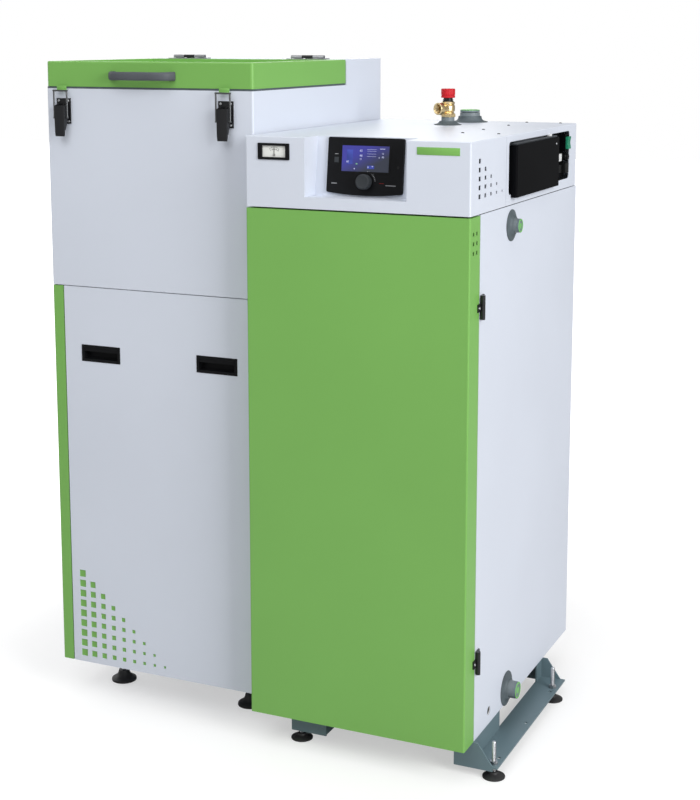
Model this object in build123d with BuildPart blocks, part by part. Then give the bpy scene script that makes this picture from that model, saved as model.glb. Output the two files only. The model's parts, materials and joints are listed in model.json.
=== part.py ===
# Pellet boiler: a boiler cabinet with a green door beside a fuel hopper with a green lid.
# Millimetres, +Z up, front towards -Y. The origin is on the floor under the middle of the whole unit.
import math
import os

from build123d import *

os.makedirs("parts", exist_ok=True)

# Sheet metal and clearances
sheet = 1.5
panel_gap = 1.5
seat_gap = 0.3
running = 0.05

# Boiler cabinet
boiler_width = 440.0
boiler_depth = 655.0
casing_bottom = 66.5
hood_height = 129.5
boiler_height = 1184.0
door_depth = 51.0
door_gap = 3.0
hood_seam = 190.0
corner_round = 3.0

# Hopper cabinet
hopper_width = 459.5
hopper_setback = 47.5
unit_gap = 8.0
hopper_bottom = 78.5
hopper_seam = 871.0
hopper_rim = 1263.0
gasket_height = 4.0
lid_height = 49.0
lid_depth = 416.0
lid_rear_gap = 4.0
trim_width = 24.5

# Reach beyond the cabinets
gauge_stand_out = 2.0
flue_reach = 90.0
foot_offset = 37.0
disc_radius = 21.5

# Whole unit, centred on the origin
overall_width = hopper_width + unit_gap + boiler_width + foot_offset + disc_radius
overall_depth = gauge_stand_out + boiler_depth + flue_reach
hopper_left = -overall_width / 2
hopper_right = hopper_left + hopper_width
boiler_left = hopper_right + unit_gap
boiler_right = boiler_left + boiler_width
boiler_middle = (boiler_left + boiler_right) / 2
front = -overall_depth / 2 + gauge_stand_out
rear = front + boiler_depth
door_back = front + door_depth
hood_bottom = boiler_height - hood_height
hopper_front = front + hopper_setback
hopper_middle = (hopper_left + hopper_right) / 2
lid_bottom = hopper_rim + gasket_height
lid_top = lid_bottom + lid_height
lid_rear = hopper_front + lid_depth

pieces = {}


def block(xs, ys, zs, mode=Mode.ADD):
    """A box between two corners, added to or cut from the part in hand."""
    middle = ((xs[0] + xs[1]) / 2, (ys[0] + ys[1]) / 2, (zs[0] + zs[1]) / 2)
    with Locations(middle):
        return Box(xs[1] - xs[0], ys[1] - ys[0], zs[1] - zs[0], mode=mode)


def rod(start, direction, radius, length, mode=Mode.ADD):
    """A round bar from a start point along a direction."""
    with Locations(Plane(origin=start, z_dir=direction)):
        return Cylinder(radius, length, align=(Align.CENTER, Align.CENTER, Align.MIN), mode=mode)


def cone(start, direction, radius_start, radius_end, length, mode=Mode.ADD):
    """A round taper from a start point along a direction."""
    with Locations(Plane(origin=start, z_dir=direction)):
        return Cone(
            radius_start, radius_end, length, align=(Align.CENTER, Align.CENTER, Align.MIN), mode=mode
        )


# Outer door: a folded tray with vent slots in its right return, on two black hinges
hinge_heights = (198.0, 865.0)
hinge_height = 44.0
hinge_radius = 4.5
hinge_pin_radius = 2.5
hinge_axis_x = boiler_right + hinge_radius + 0.8
hinge_axis_y = door_back + 5.0
door_bottom = casing_bottom
door_top = hood_bottom - door_gap
door_vent = 7.0
door_vent_pitch = 17.0
door_vent_top = 1022.0
door_vent_inset = 17.5

with BuildPart() as boiler_door:
    block((boiler_left, boiler_right), (front, door_back), (door_bottom, door_top))
    fillet(boiler_door.edges().filter_by(Axis.Z).group_by(Axis.Y)[0], corner_round)
    block(
        (boiler_left + sheet, boiler_right - sheet),
        (front + sheet, door_back),
        (door_bottom + sheet, door_top - sheet),
        mode=Mode.SUBTRACT,
    )
    for column in range(2):
        for row in range(3):
            slot_y = front + door_vent_inset + column * door_vent_pitch
            slot_z = door_vent_top - row * door_vent_pitch
            block(
                (boiler_right - 3 * sheet, boiler_right + sheet),
                (slot_y - door_vent / 2, slot_y + door_vent / 2),
                (slot_z - door_vent / 2, slot_z + door_vent / 2),
                mode=Mode.SUBTRACT,
            )
pieces["boiler_door"] = boiler_door

# Door hinges: casing leaf with two outer knuckles and a pin, door leaf with a middle knuckle
knuckle_share = hinge_height / 3
leaf_thickness = 0.8 + hinge_radius - hinge_pin_radius
leaf_reach = 16.0

with BuildPart() as door_hinge_leaves:
    for low in hinge_heights:
        for step in (0, 2):
            start = low + step * knuckle_share
            rod((hinge_axis_x, hinge_axis_y, start), (0, 0, 1), hinge_radius, knuckle_share - running)
            block(
                (boiler_right, boiler_right + leaf_thickness),
                (hinge_axis_y, hinge_axis_y + leaf_reach),
                (start, start + knuckle_share - running),
            )
        rod((hinge_axis_x, hinge_axis_y, low), (0, 0, 1), hinge_pin_radius, hinge_height)
pieces["door_hinge_leaves"] = door_hinge_leaves

with BuildPart() as door_hinge_knuckles:
    for low in hinge_heights:
        start = low + knuckle_share + running
        height = knuckle_share - 3 * running
        rod((hinge_axis_x, hinge_axis_y, start), (0, 0, 1), hinge_radius, height)
        block(
            (boiler_right, boiler_right + leaf_thickness),
            (hinge_axis_y - leaf_reach, hinge_axis_y),
            (start, start + height),
        )
        rod(
            (hinge_axis_x, hinge_axis_y, low),
            (0, 0, 1),
            hinge_pin_radius + running,
            hinge_height,
            mode=Mode.SUBTRACT,
        )
pieces["door_hinge_knuckles"] = door_hinge_knuckles

# Side panels and rear panel
flange = 20.0
panel_front = door_back + panel_gap
panel_rear = rear - sheet
panel_top = hood_bottom - panel_gap
side_ports = {
    "upper": {"y": front + 226.0, "z": 1015.5, "radius": 13.45, "reach": 14.0, "rosette": 30.0},
    "lower": {"y": front + 240.0, "z": 96.5, "radius": 16.85, "reach": 20.0, "rosette": 34.5},
}
port_hole_clearance = 4.0
pipe_shoulder = 1.0
knockout_radius = 8.75
knockout_y = front + 136.5
knockout_z = 92.5

with BuildPart() as right_side_panel:
    block((boiler_right - flange, boiler_right), (panel_front, panel_rear), (casing_bottom, panel_top))
    block(
        (boiler_right - flange, boiler_right - sheet),
        (panel_front + sheet, panel_rear - sheet),
        (casing_bottom, panel_top),
        mode=Mode.SUBTRACT,
    )
    for port in side_ports.values():
        rod(
            (boiler_right - flange, port["y"], port["z"]),
            (1, 0, 0),
            port["radius"] + port_hole_clearance,
            2 * flange,
            mode=Mode.SUBTRACT,
        )
    rod(
        (boiler_right - 2 * sheet, knockout_y, knockout_z),
        (1, 0, 0),
        knockout_radius,
        4 * sheet,
        mode=Mode.SUBTRACT,
    )
pieces["right_side_panel"] = right_side_panel

# Burner axis, shared by the burner, the auger and the walls they pass through
feed_y = front + 245.0
feed_z = 440.0
burner_head_radius = 68.0
wall_clearance = 6.0

with BuildPart() as left_side_panel:
    block((boiler_left, boiler_left + flange), (panel_front, panel_rear), (casing_bottom, panel_top))
    block(
        (boiler_left + sheet, boiler_left + flange),
        (panel_front + sheet, panel_rear - sheet),
        (casing_bottom, panel_top),
        mode=Mode.SUBTRACT,
    )
    rod(
        (boiler_left - sheet, feed_y, feed_z),
        (1, 0, 0),
        burner_head_radius + wall_clearance,
        3 * sheet,
        mode=Mode.SUBTRACT,
    )
pieces["left_side_panel"] = left_side_panel

flue_radius = 65.0
flue_wall = 3.0
flue_hole_margin = 5.0
flue_z = 905.0

with BuildPart() as rear_panel:
    block((boiler_left, boiler_right), (panel_rear, rear), (casing_bottom, panel_top))
    rod(
        (boiler_middle, panel_rear - sheet, flue_z),
        (0, 1, 0),
        flue_radius + flue_hole_margin,
        4 * sheet,
        mode=Mode.SUBTRACT,
    )
pieces["rear_panel"] = rear_panel

# Front hood and top cover, notched for the tilted controller
notch_left = boiler_left + 120.0
notch_right = boiler_right - 120.0
notch_middle = (notch_left + notch_right) / 2
notch_floor = 1076.0
notch_depth_top = 58.0
notch_depth_floor = 44.5
gauge_width = 64.0
gauge_height = 30.0
gauge_x = boiler_left + 58.5
gauge_z = 1157.0
gauge_body_inset = 2.0
hood_vent_columns = 5
hood_vent_first_y = front + 45.7
hood_vent_low_z = 1085.5
hood_vent_pitch_y = 30.7
hood_vent_pitch_z = 15.7
hood_vent_width = 11.0
hood_vent_height = 8.5
hood_vent_shrink = 0.12
cover_top = boiler_height
top_underside = boiler_height - sheet
hood_rear = front + hood_seam

with BuildPart() as front_hood:
    block((boiler_left, boiler_right), (front, hood_rear), (hood_bottom, top_underside))
    fillet(front_hood.edges().filter_by(Axis.Z).group_by(Axis.Y)[0], corner_round)
    block(
        (boiler_left + sheet, boiler_right - sheet),
        (front + sheet, hood_rear + sheet),
        (hood_bottom + sheet, boiler_height),
        mode=Mode.SUBTRACT,
    )
    block(
        (boiler_left + flange, boiler_right - flange),
        (door_back + flange, hood_rear + sheet),
        (hood_bottom - sheet, hood_bottom + 2 * sheet),
        mode=Mode.SUBTRACT,
    )
    block(
        (notch_left, notch_right),
        (front - sheet, front + 3 * sheet),
        (notch_floor, boiler_height),
        mode=Mode.SUBTRACT,
    )
    block(
        (gauge_x - gauge_width / 2 + gauge_body_inset, gauge_x + gauge_width / 2 - gauge_body_inset),
        (front - sheet, front + 3 * sheet),
        (gauge_z - gauge_height / 2 + gauge_body_inset, gauge_z + gauge_height / 2 - gauge_body_inset),
        mode=Mode.SUBTRACT,
    )
    for column in range(hood_vent_columns):
        scale = 1 - hood_vent_shrink * column
        for row in range(hood_vent_columns - column):
            slot_y = hood_vent_first_y + column * hood_vent_pitch_y
            slot_z = hood_vent_low_z + row * hood_vent_pitch_z
            block(
                (boiler_right - 3 * sheet, boiler_right + sheet),
                (slot_y - hood_vent_width * scale / 2, slot_y + hood_vent_width * scale / 2),
                (slot_z - hood_vent_height * scale / 2, slot_z + hood_vent_height * scale / 2),
                mode=Mode.SUBTRACT,
            )
pieces["front_hood"] = front_hood

# Module opening in the right flank of the top cover
module_open_front = front + 205.5
module_open_rear = front + 598.5
module_open_low = 1073.5
module_open_high = 1171.5
module_corner = 8.0

# Things standing on the top cover
valve_x = boiler_left + 214.0
valve_y = front + 484.5
valve_pipe_radius = 13.45
top_port_x = boiler_left + 218.0
top_port_y = front + 607.0
top_port_radius = 21.2
screw_radius = 2.0
screw_head_radius = 4.2
screw_head_height = 1.8
screw_length = 8.0
top_screws = [
    (boiler_left + x, front + y)
    for x, y in ((336, 240), (336, 358), (336, 513), (336, 634), (409, 236), (409, 636))
]

with BuildPart() as top_cover:
    block((boiler_left, boiler_right), (front, rear), (hood_bottom, cover_top))
    fillet(top_cover.edges().filter_by(Axis.Z).group_by(Axis.Y)[-1], 3 * corner_round)
    fillet(top_cover.faces().sort_by(Axis.Z)[-1].edges(), corner_round / 2)
    block(
        (boiler_left + sheet, boiler_right - sheet),
        (front - sheet, rear - sheet),
        (hood_bottom - sheet, top_underside),
        mode=Mode.SUBTRACT,
    )
    block(
        (boiler_left - sheet, boiler_right + sheet),
        (front - sheet, hood_rear + panel_gap),
        (hood_bottom - sheet, top_underside),
        mode=Mode.SUBTRACT,
    )
    block(
        (notch_left, notch_right),
        (front - sheet, front + notch_depth_top),
        (top_underside - sheet, cover_top + sheet),
        mode=Mode.SUBTRACT,
    )
    with BuildSketch(Plane.YZ.offset(boiler_right - 2 * sheet)) as module_opening:
        with Locations(
            ((module_open_front + module_open_rear) / 2, (module_open_low + module_open_high) / 2)
        ):
            RectangleRounded(
                module_open_rear - module_open_front, module_open_high - module_open_low, module_corner
            )
    extrude(amount=4 * sheet, mode=Mode.SUBTRACT)
    for x, y, radius in (
        (valve_x, valve_y, valve_pipe_radius + pipe_shoulder + 2),
        (top_port_x, top_port_y, top_port_radius + pipe_shoulder + 2),
    ):
        rod((x, y, top_underside - sheet), (0, 0, 1), radius, 4 * sheet, mode=Mode.SUBTRACT)
    for x, y in top_screws:
        rod((x, y, top_underside - sheet), (0, 0, 1), screw_radius, 4 * sheet, mode=Mode.SUBTRACT)
pieces["top_cover"] = top_cover

with BuildPart() as casing_screws:
    for x, y in top_screws:
        rod((x, y, cover_top), (0, 0, 1), screw_head_radius, screw_head_height)
        rod((x, y, cover_top - screw_length), (0, 0, 1), screw_radius, screw_length)
pieces["casing_screws"] = casing_screws

# Controller pocket: two cheeks, a ledge and a tilted plate
tilt = math.atan2(notch_depth_top - notch_depth_floor, boiler_height - notch_floor)
plate_normal = Vector(0, -math.cos(tilt), math.sin(tilt))
plate_up = Vector(0, math.sin(tilt), math.cos(tilt))
pocket_front = front + sheet
panel_width = 150.0
panel_height = 100.0
panel_bow = 5.0
panel_thickness = 5.0
panel_back_depth = 26.0
panel_back_inset = 6.0
panel_low = notch_floor + 2.0
panel_base_y = front + notch_depth_floor + (panel_low - notch_floor) * math.tan(tilt)
panel_origin = Vector(notch_middle, panel_base_y, panel_low)
panel_plane = Plane(origin=panel_origin, x_dir=(1, 0, 0), z_dir=plate_normal)
back_low = panel_bow + panel_back_inset
back_high = panel_bow + panel_height - panel_back_inset
back_half = panel_width / 2 - panel_back_inset

with BuildPart() as controller_pocket:
    with BuildSketch(Plane.YZ.offset(notch_left - sheet)):
        with BuildLine():
            Polyline(
                (pocket_front, notch_floor - sheet),
                (front + notch_depth_floor, notch_floor - sheet),
                (front + notch_depth_top, top_underside),
                (pocket_front, top_underside),
                close=True,
            )
        make_face()
    extrude(amount=notch_right - notch_left + 2 * sheet)
    block(
        (notch_left, notch_right),
        (pocket_front - sheet, front + 2 * notch_depth_top),
        (notch_floor, boiler_height + sheet),
        mode=Mode.SUBTRACT,
    )
    with BuildSketch(Plane.YZ.offset(notch_left - sheet)):
        with BuildLine():
            Polyline(
                (front + notch_depth_floor, notch_floor - sheet),
                (front + notch_depth_floor + sheet, notch_floor - sheet),
                (front + notch_depth_top + sheet, top_underside),
                (front + notch_depth_top, top_underside),
                close=True,
            )
        make_face()
    extrude(amount=notch_right - notch_left + 2 * sheet)
    with BuildSketch(panel_plane.offset(-3 * sheet)):
        with Locations((0, (back_low + back_high) / 2)):
            Rectangle(2 * back_half + 1, back_high - back_low + 1)
    extrude(amount=6 * sheet, mode=Mode.SUBTRACT)
pieces["controller_pocket"] = controller_pocket

# Controller panel with a bowed lower edge, a screen recess and a shaft hole
screen_width = 98.0
screen_height = 52.0
screen_low = 41.0
screen_thickness = 0.8
knob_offset = 2.0
knob_height = 25.0
knob_radius = 16.0
knob_length = 14.0
knob_push = 1.5
encoder_radius = 3.0

with BuildPart() as controller_panel:
    with BuildSketch(panel_plane.offset(seat_gap)):
        with BuildLine():
            Line((-panel_width / 2, panel_bow), (-panel_width / 2, panel_bow + panel_height))
            Line(
                (-panel_width / 2, panel_bow + panel_height), (panel_width / 2, panel_bow + panel_height)
            )
            Line((panel_width / 2, panel_bow + panel_height), (panel_width / 2, panel_bow))
            ThreePointArc((panel_width / 2, panel_bow), (0, 0), (-panel_width / 2, panel_bow))
        make_face()
    extrude(amount=panel_thickness)
    fillet(
        controller_panel.edges()
        .filter_by(lambda edge: edge.length < 2 * panel_thickness)
        .sort_by_distance(Vector(notch_middle, front, boiler_height))[:4],
        3.0,
    )
    with BuildSketch(panel_plane.offset(-panel_back_depth)):
        with Locations((0, (back_low + back_high) / 2)):
            Rectangle(2 * back_half, back_high - back_low)
    extrude(amount=panel_back_depth + 2 * seat_gap)
    with BuildSketch(panel_plane.offset(seat_gap + panel_thickness - screen_thickness)):
        with Locations((0, screen_low + screen_height / 2)):
            Rectangle(screen_width, screen_height)
    extrude(amount=2 * screen_thickness, mode=Mode.SUBTRACT)
    with BuildSketch(panel_plane.offset(-panel_back_depth)):
        with Locations((knob_offset, knob_height)):
            Circle(encoder_radius + running)
    extrude(amount=panel_back_depth + 2 * panel_thickness, mode=Mode.SUBTRACT)
pieces["controller_panel"] = controller_panel

with BuildPart() as controller_screen:
    with BuildSketch(panel_plane.offset(seat_gap + panel_thickness - screen_thickness)):
        with Locations((0, screen_low + screen_height / 2)):
            Rectangle(screen_width, screen_height)
    extrude(amount=screen_thickness)
pieces["controller_screen"] = controller_screen

# Encoder: the shaft is pushed in and the knob turns on it
knob_back = seat_gap + panel_thickness + knob_push + seat_gap
knob_base = panel_plane.offset(knob_back).from_local_coords(Vector(knob_offset, knob_height, 0))
shaft_back = panel_back_depth - 4.0

with BuildPart() as encoder_shaft:
    with BuildSketch(panel_plane.offset(-shaft_back)):
        with Locations((knob_offset, knob_height)):
            Circle(encoder_radius)
    extrude(amount=shaft_back + knob_back + knob_length - 4.0)
pieces["encoder_shaft"] = encoder_shaft

with BuildPart() as controller_knob:
    rod(knob_base, plate_normal, knob_radius, knob_length)
    fillet(controller_knob.edges().filter_by(GeomType.CIRCLE).sort_by(Axis.Y)[0], 1.5)
    rod(knob_base, plate_normal, encoder_radius + running, knob_length - 3.5, mode=Mode.SUBTRACT)
pieces["controller_knob"] = controller_knob

# Temperature gauge set in the hood
window_width = 48.0
window_height = 21.0
gauge_depth = 20.0
dial_thickness = 1.0
pointer_length = 13.0
pointer_hub = 2.0
pointer_pin = 1.0
pointer_low = 4.0
window_depth = 4.0
dial_front = front - gauge_stand_out + window_depth
pointer_z = gauge_z - window_height / 2 + pointer_low

with BuildPart() as gauge_bezel:
    block(
        (gauge_x - gauge_width / 2, gauge_x + gauge_width / 2),
        (front - gauge_stand_out, front),
        (gauge_z - gauge_height / 2, gauge_z + gauge_height / 2),
    )
    fillet(gauge_bezel.edges().filter_by(Axis.Y), 1.5)
    inset = gauge_body_inset + seat_gap
    block(
        (gauge_x - gauge_width / 2 + inset, gauge_x + gauge_width / 2 - inset),
        (front, front + gauge_depth),
        (gauge_z - gauge_height / 2 + inset, gauge_z + gauge_height / 2 - inset),
    )
    block(
        (gauge_x - window_width / 2, gauge_x + window_width / 2),
        (front - 2 * gauge_stand_out, dial_front + dial_thickness),
        (gauge_z - window_height / 2, gauge_z + window_height / 2),
        mode=Mode.SUBTRACT,
    )
pieces["gauge_bezel"] = gauge_bezel

with BuildPart() as gauge_dial:
    block(
        (gauge_x - window_width / 2, gauge_x + window_width / 2),
        (dial_front, dial_front + dial_thickness),
        (gauge_z - window_height / 2, gauge_z + window_height / 2),
    )
    rod((gauge_x, dial_front, pointer_z), (0, -1, 0), pointer_pin, 1.6)
pieces["gauge_dial"] = gauge_dial

with BuildPart() as gauge_pointer:
    rod((gauge_x, dial_front - seat_gap, pointer_z), (0, -1, 0), pointer_hub, 1.0)
    block(
        (gauge_x - 0.4, gauge_x + 0.4),
        (dial_front - seat_gap - 0.6, dial_front - seat_gap),
        (pointer_z, pointer_z + pointer_length),
    )
    rod((gauge_x, dial_front + 1, pointer_z), (0, -1, 0), pointer_pin + running, 4.0, mode=Mode.SUBTRACT)
pieces["gauge_pointer"] = gauge_pointer

# Bare green plate on the hood
plate_x = boiler_left + 379.5
plate_z = 1166.5
plate_width = 80.0
plate_height = 13.6
plate_thickness = 0.8

with BuildPart() as name_plate:
    block(
        (plate_x - plate_width / 2, plate_x + plate_width / 2),
        (front - plate_thickness, front),
        (plate_z - plate_height / 2, plate_z + plate_height / 2),
    )
    fillet(name_plate.edges().filter_by(Axis.Y), 1.0)
pieces["name_plate"] = name_plate

# Control module: a black box through the opening, its cover standing proud, a switch housing behind it
module_front = front + 218.0
module_rear = front + 486.0
module_low = 1068.0
module_high = 1165.0
module_stand_out = 12.0
module_inner_depth = 80.0
recess = 12.0
body_margin = 3.0
switch_y = front + 579.0
switch_z = 1148.0
rocker_width = 20.0
rocker_height = 26.0
rocker_pocket = 0.5
rocker_swing = 1.5
switch_wall = 3.5
switch_face = boiler_right + 1.0
rocker_axis_x = switch_face - 2.0
rocker_pocket_depth = 8.0
trunnion_radius = 1.5
trunnion_length = 1.5

with BuildPart() as control_module:
    block(
        (boiler_right - module_inner_depth, boiler_right - recess),
        (module_open_front + body_margin, module_open_rear - body_margin),
        (module_open_low + body_margin, module_open_high - body_margin),
    )
    block(
        (boiler_right - 2 * recess, boiler_right + module_stand_out),
        (module_front, module_rear),
        (module_open_low + body_margin, module_high),
    )
    block(
        (boiler_right, boiler_right + module_stand_out),
        (module_front, module_rear),
        (module_low, module_high),
    )
    fillet(
        control_module.edges()
        .filter_by(lambda edge: edge.center().X > boiler_right + module_stand_out - 0.1)
        .group_by(Axis.Y)[0],
        4.0,
    )
    block(
        (boiler_right - 2 * recess, switch_face),
        (
            switch_y - rocker_width / 2 - rocker_pocket - switch_wall,
            switch_y + rocker_width / 2 + rocker_pocket + switch_wall,
        ),
        (
            switch_z - rocker_height / 2 - rocker_swing - switch_wall,
            switch_z + rocker_height / 2 + rocker_swing + switch_wall,
        ),
    )
    block(
        (switch_face - rocker_pocket_depth, switch_face + 1),
        (switch_y - rocker_width / 2 - rocker_pocket, switch_y + rocker_width / 2 + rocker_pocket),
        (switch_z - rocker_height / 2 - rocker_swing, switch_z + rocker_height / 2 + rocker_swing),
        mode=Mode.SUBTRACT,
    )
    rod(
        (rocker_axis_x, switch_y - rocker_width, switch_z),
        (0, 1, 0),
        trunnion_radius + running,
        2 * rocker_width,
        mode=Mode.SUBTRACT,
    )
pieces["control_module"] = control_module

with BuildPart() as main_switch_rocker:
    with BuildSketch(Plane.XZ.offset(-(switch_y + rocker_width / 2))):
        with BuildLine():
            Polyline(
                (rocker_axis_x - 4, switch_z - 6),
                (rocker_axis_x + 3, switch_z - rocker_height / 2 + 0.5),
                (rocker_axis_x + 8, switch_z - rocker_height / 2),
                (rocker_axis_x + 6, switch_z),
                (rocker_axis_x + 8, switch_z + rocker_height / 2),
                (rocker_axis_x + 3, switch_z + rocker_height / 2 - 0.5),
                (rocker_axis_x - 4, switch_z + 6),
                close=True,
            )
        make_face()
    extrude(amount=rocker_width)
    rod(
        (rocker_axis_x, switch_y - rocker_width / 2 - trunnion_length, switch_z),
        (0, 1, 0),
        trunnion_radius,
        rocker_width + 2 * trunnion_length,
    )
pieces["main_switch_rocker"] = main_switch_rocker

connector_face = boiler_right - recess
with BuildPart() as module_connectors:
    block((connector_face, connector_face + 11), (front + 526, front + 550), (1112, 1127))
    block((connector_face, connector_face + 9), (front + 526, front + 556), (1088, 1104))
    rod((connector_face, front + 579, 1119), (1, 0, 0), 7.0, 17.0)
    block((connector_face, connector_face + 14), (front + 567, front + 591), (1086, 1106))
pieces["module_connectors"] = module_connectors

# Boiler body: welded plates round a water space, with a chamber, flat flue passes, a smoke box and a spigot
body_side_gap = 25.0
body_front = front + 95.0
body_rear = rear - 30.0
body_bottom = 72.0
body_top = 1044.0
jacket_wall = 5.0
jacket_space = 45.0
weld_gap = 0.05
chamber_top = 700.0
smoke_low = 820.0
smoke_high = 985.0
pass_count = 3
pass_depth = 36.0
body_left = boiler_left + body_side_gap
body_right = boiler_right - body_side_gap
chamber_left = body_left + jacket_space
chamber_right = body_right - jacket_space
chamber_rear = body_rear - jacket_space
chamber_low = body_bottom + jacket_space
plate = 6.0
pipe_wall = 3.0
door_way_low = chamber_low + plate
door_way_high = 560.0
mouth_left = chamber_left + plate
mouth_right = chamber_right - plate
inner_front = body_front + plate
inner_rear = chamber_rear - plate
burner_way = burner_head_radius + 4.0
pocket_depth = (inner_rear - inner_front - pass_count * pass_depth) / (pass_count + 1)
pocket_low = chamber_top - plate
pocket_high = smoke_low + plate
flue_collar = 3.0
flue_shoulder = 2.0

with BuildPart() as boiler_body:
    for left in (body_left, body_right - jacket_wall):
        block(
            (left, left + jacket_wall),
            (inner_front + weld_gap, body_rear),
            (body_bottom, body_top),
        )
    between_sides = (body_left + jacket_wall + weld_gap, body_right - jacket_wall - weld_gap)
    block(between_sides, (body_rear - jacket_wall, body_rear), (body_bottom, body_top))
    for low in (body_bottom, body_top - jacket_wall):
        block(
            between_sides,
            (inner_front + weld_gap, body_rear - jacket_wall - weld_gap),
            (low, low + jacket_wall),
        )
    block((body_left, mouth_left), (body_front, inner_front), (body_bottom, body_top))
    block((mouth_right, body_right), (body_front, inner_front), (body_bottom, body_top))
    for low, high in ((body_bottom, door_way_low), (door_way_high, body_top)):
        block((mouth_left + weld_gap, mouth_right - weld_gap), (body_front, inner_front), (low, high))
    for left in (chamber_left, mouth_right):
        block(
            (left, left + plate),
            (inner_front + weld_gap, chamber_rear),
            (chamber_low, smoke_high),
        )
    within_walls = (mouth_left + weld_gap, mouth_right - weld_gap)
    block(within_walls, (inner_rear, chamber_rear), (chamber_low, smoke_high))
    for low in (chamber_low, smoke_high - plate):
        block(within_walls, (inner_front + weld_gap, inner_rear - weld_gap), (low, low + plate))
    for pocket in range(pass_count + 1):
        pocket_front = inner_front + pocket * (pocket_depth + pass_depth)
        block(
            within_walls,
            (pocket_front + weld_gap, pocket_front + pocket_depth - weld_gap),
            (pocket_low, pocket_high),
        )
        block(
            (mouth_left + jacket_wall, mouth_right - jacket_wall),
            (pocket_front + jacket_wall, pocket_front + pocket_depth - jacket_wall),
            (pocket_low + jacket_wall, pocket_high - jacket_wall),
            mode=Mode.SUBTRACT,
        )
    rod(
        (boiler_middle, body_rear - 2 * jacket_wall, flue_z),
        (0, 1, 0),
        flue_radius + flue_collar + weld_gap,
        3 * jacket_wall,
        mode=Mode.SUBTRACT,
    )
    rod(
        (boiler_middle, chamber_rear + weld_gap, flue_z),
        (0, 1, 0),
        flue_radius + flue_collar,
        rear + flue_shoulder - chamber_rear - weld_gap,
    )
    rod(
        (boiler_middle, rear, flue_z),
        (0, 1, 0),
        flue_radius,
        flue_reach,
    )
    rod(
        (body_left + jacket_wall + weld_gap, feed_y, feed_z),
        (1, 0, 0),
        burner_way + plate,
        jacket_space - jacket_wall - 2 * weld_gap,
    )
    rod(
        (boiler_middle, inner_rear - plate, flue_z),
        (0, 1, 0),
        flue_radius - flue_wall,
        rear + flue_reach - chamber_rear + 4 * plate,
        mode=Mode.SUBTRACT,
    )
    rod(
        (body_left - plate, feed_y, feed_z),
        (1, 0, 0),
        burner_way,
        jacket_space + 3 * plate,
        mode=Mode.SUBTRACT,
    )
    for port in side_ports.values():
        rod(
            (body_right - 2 * jacket_wall, port["y"], port["z"]),
            (1, 0, 0),
            port["radius"] - pipe_wall,
            3 * jacket_wall,
            mode=Mode.SUBTRACT,
        )
    for x, y, radius in ((valve_x, valve_y, valve_pipe_radius), (top_port_x, top_port_y, top_port_radius)):
        rod(
            (x, y, body_top - 2 * jacket_wall),
            (0, 0, 1),
            radius - pipe_wall,
            3 * jacket_wall,
            mode=Mode.SUBTRACT,
        )
pieces["boiler_body"] = boiler_body

# Pipe stubs: bored tubes from the jacket out through the casing, thicker up to the end of each rosette
valve_pipe_top = cover_top + 16.0
top_port_top = cover_top + 20.0
rosette_height = 8.0
plug_flange = 5.0
top_plug_flange = 6.0
plug_depth = 10.0
plug_clearance = 0.1
plug_set_in = 0.4

with BuildPart() as pipe_stubs:
    for x, y, radius, top in (
        (valve_x, valve_y, valve_pipe_radius, valve_pipe_top),
        (top_port_x, top_port_y, top_port_radius, top_port_top),
    ):
        rod((x, y, body_top), (0, 0, 1), radius + pipe_shoulder, cover_top + rosette_height - body_top)
        rod((x, y, body_top), (0, 0, 1), radius, top - body_top)
        rod((x, y, body_top - 1), (0, 0, 1), radius - pipe_wall, top - body_top + 2, mode=Mode.SUBTRACT)
    for port in side_ports.values():
        length = boiler_right + port["reach"] - body_right
        rod(
            (body_right, port["y"], port["z"]),
            (1, 0, 0),
            port["radius"] + pipe_shoulder,
            boiler_right + rosette_height - body_right,
        )
        rod((body_right, port["y"], port["z"]), (1, 0, 0), port["radius"], length)
        rod(
            (body_right - 1, port["y"], port["z"]),
            (1, 0, 0),
            port["radius"] - pipe_wall,
            length + 2,
            mode=Mode.SUBTRACT,
        )
pieces["pipe_stubs"] = pipe_stubs

with BuildPart() as port_plugs:
    rod((top_port_x, top_port_y, top_port_top), (0, 0, 1), top_port_radius - plug_set_in, top_plug_flange)
    rod(
        (top_port_x, top_port_y, top_port_top - plug_depth),
        (0, 0, 1),
        top_port_radius - pipe_wall - plug_clearance,
        plug_depth,
    )
    for port in side_ports.values():
        end = boiler_right + port["reach"]
        rod((end, port["y"], port["z"]), (1, 0, 0), port["radius"] - plug_set_in, plug_flange)
        rod(
            (end - plug_depth, port["y"], port["z"]),
            (1, 0, 0),
            port["radius"] - pipe_wall - plug_clearance,
            plug_depth,
        )
pieces["port_plugs"] = port_plugs

# Rubber rosettes round each pipe
rosette_brim = 1.5
rosette_bore_gap = 0.15
rosette_lip = 4.0
valve_rosette = 28.5
top_rosette = 38.0


def rosette(start, direction, brim_radius, pipe_radius):
    """A flat brim and a cone up to the pipe."""
    rod(start, direction, brim_radius, rosette_brim)
    base = Vector(*start) + Vector(*direction) * rosette_brim
    cone(base, direction, brim_radius * 0.72, pipe_radius + rosette_lip, rosette_height - rosette_brim)


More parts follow.
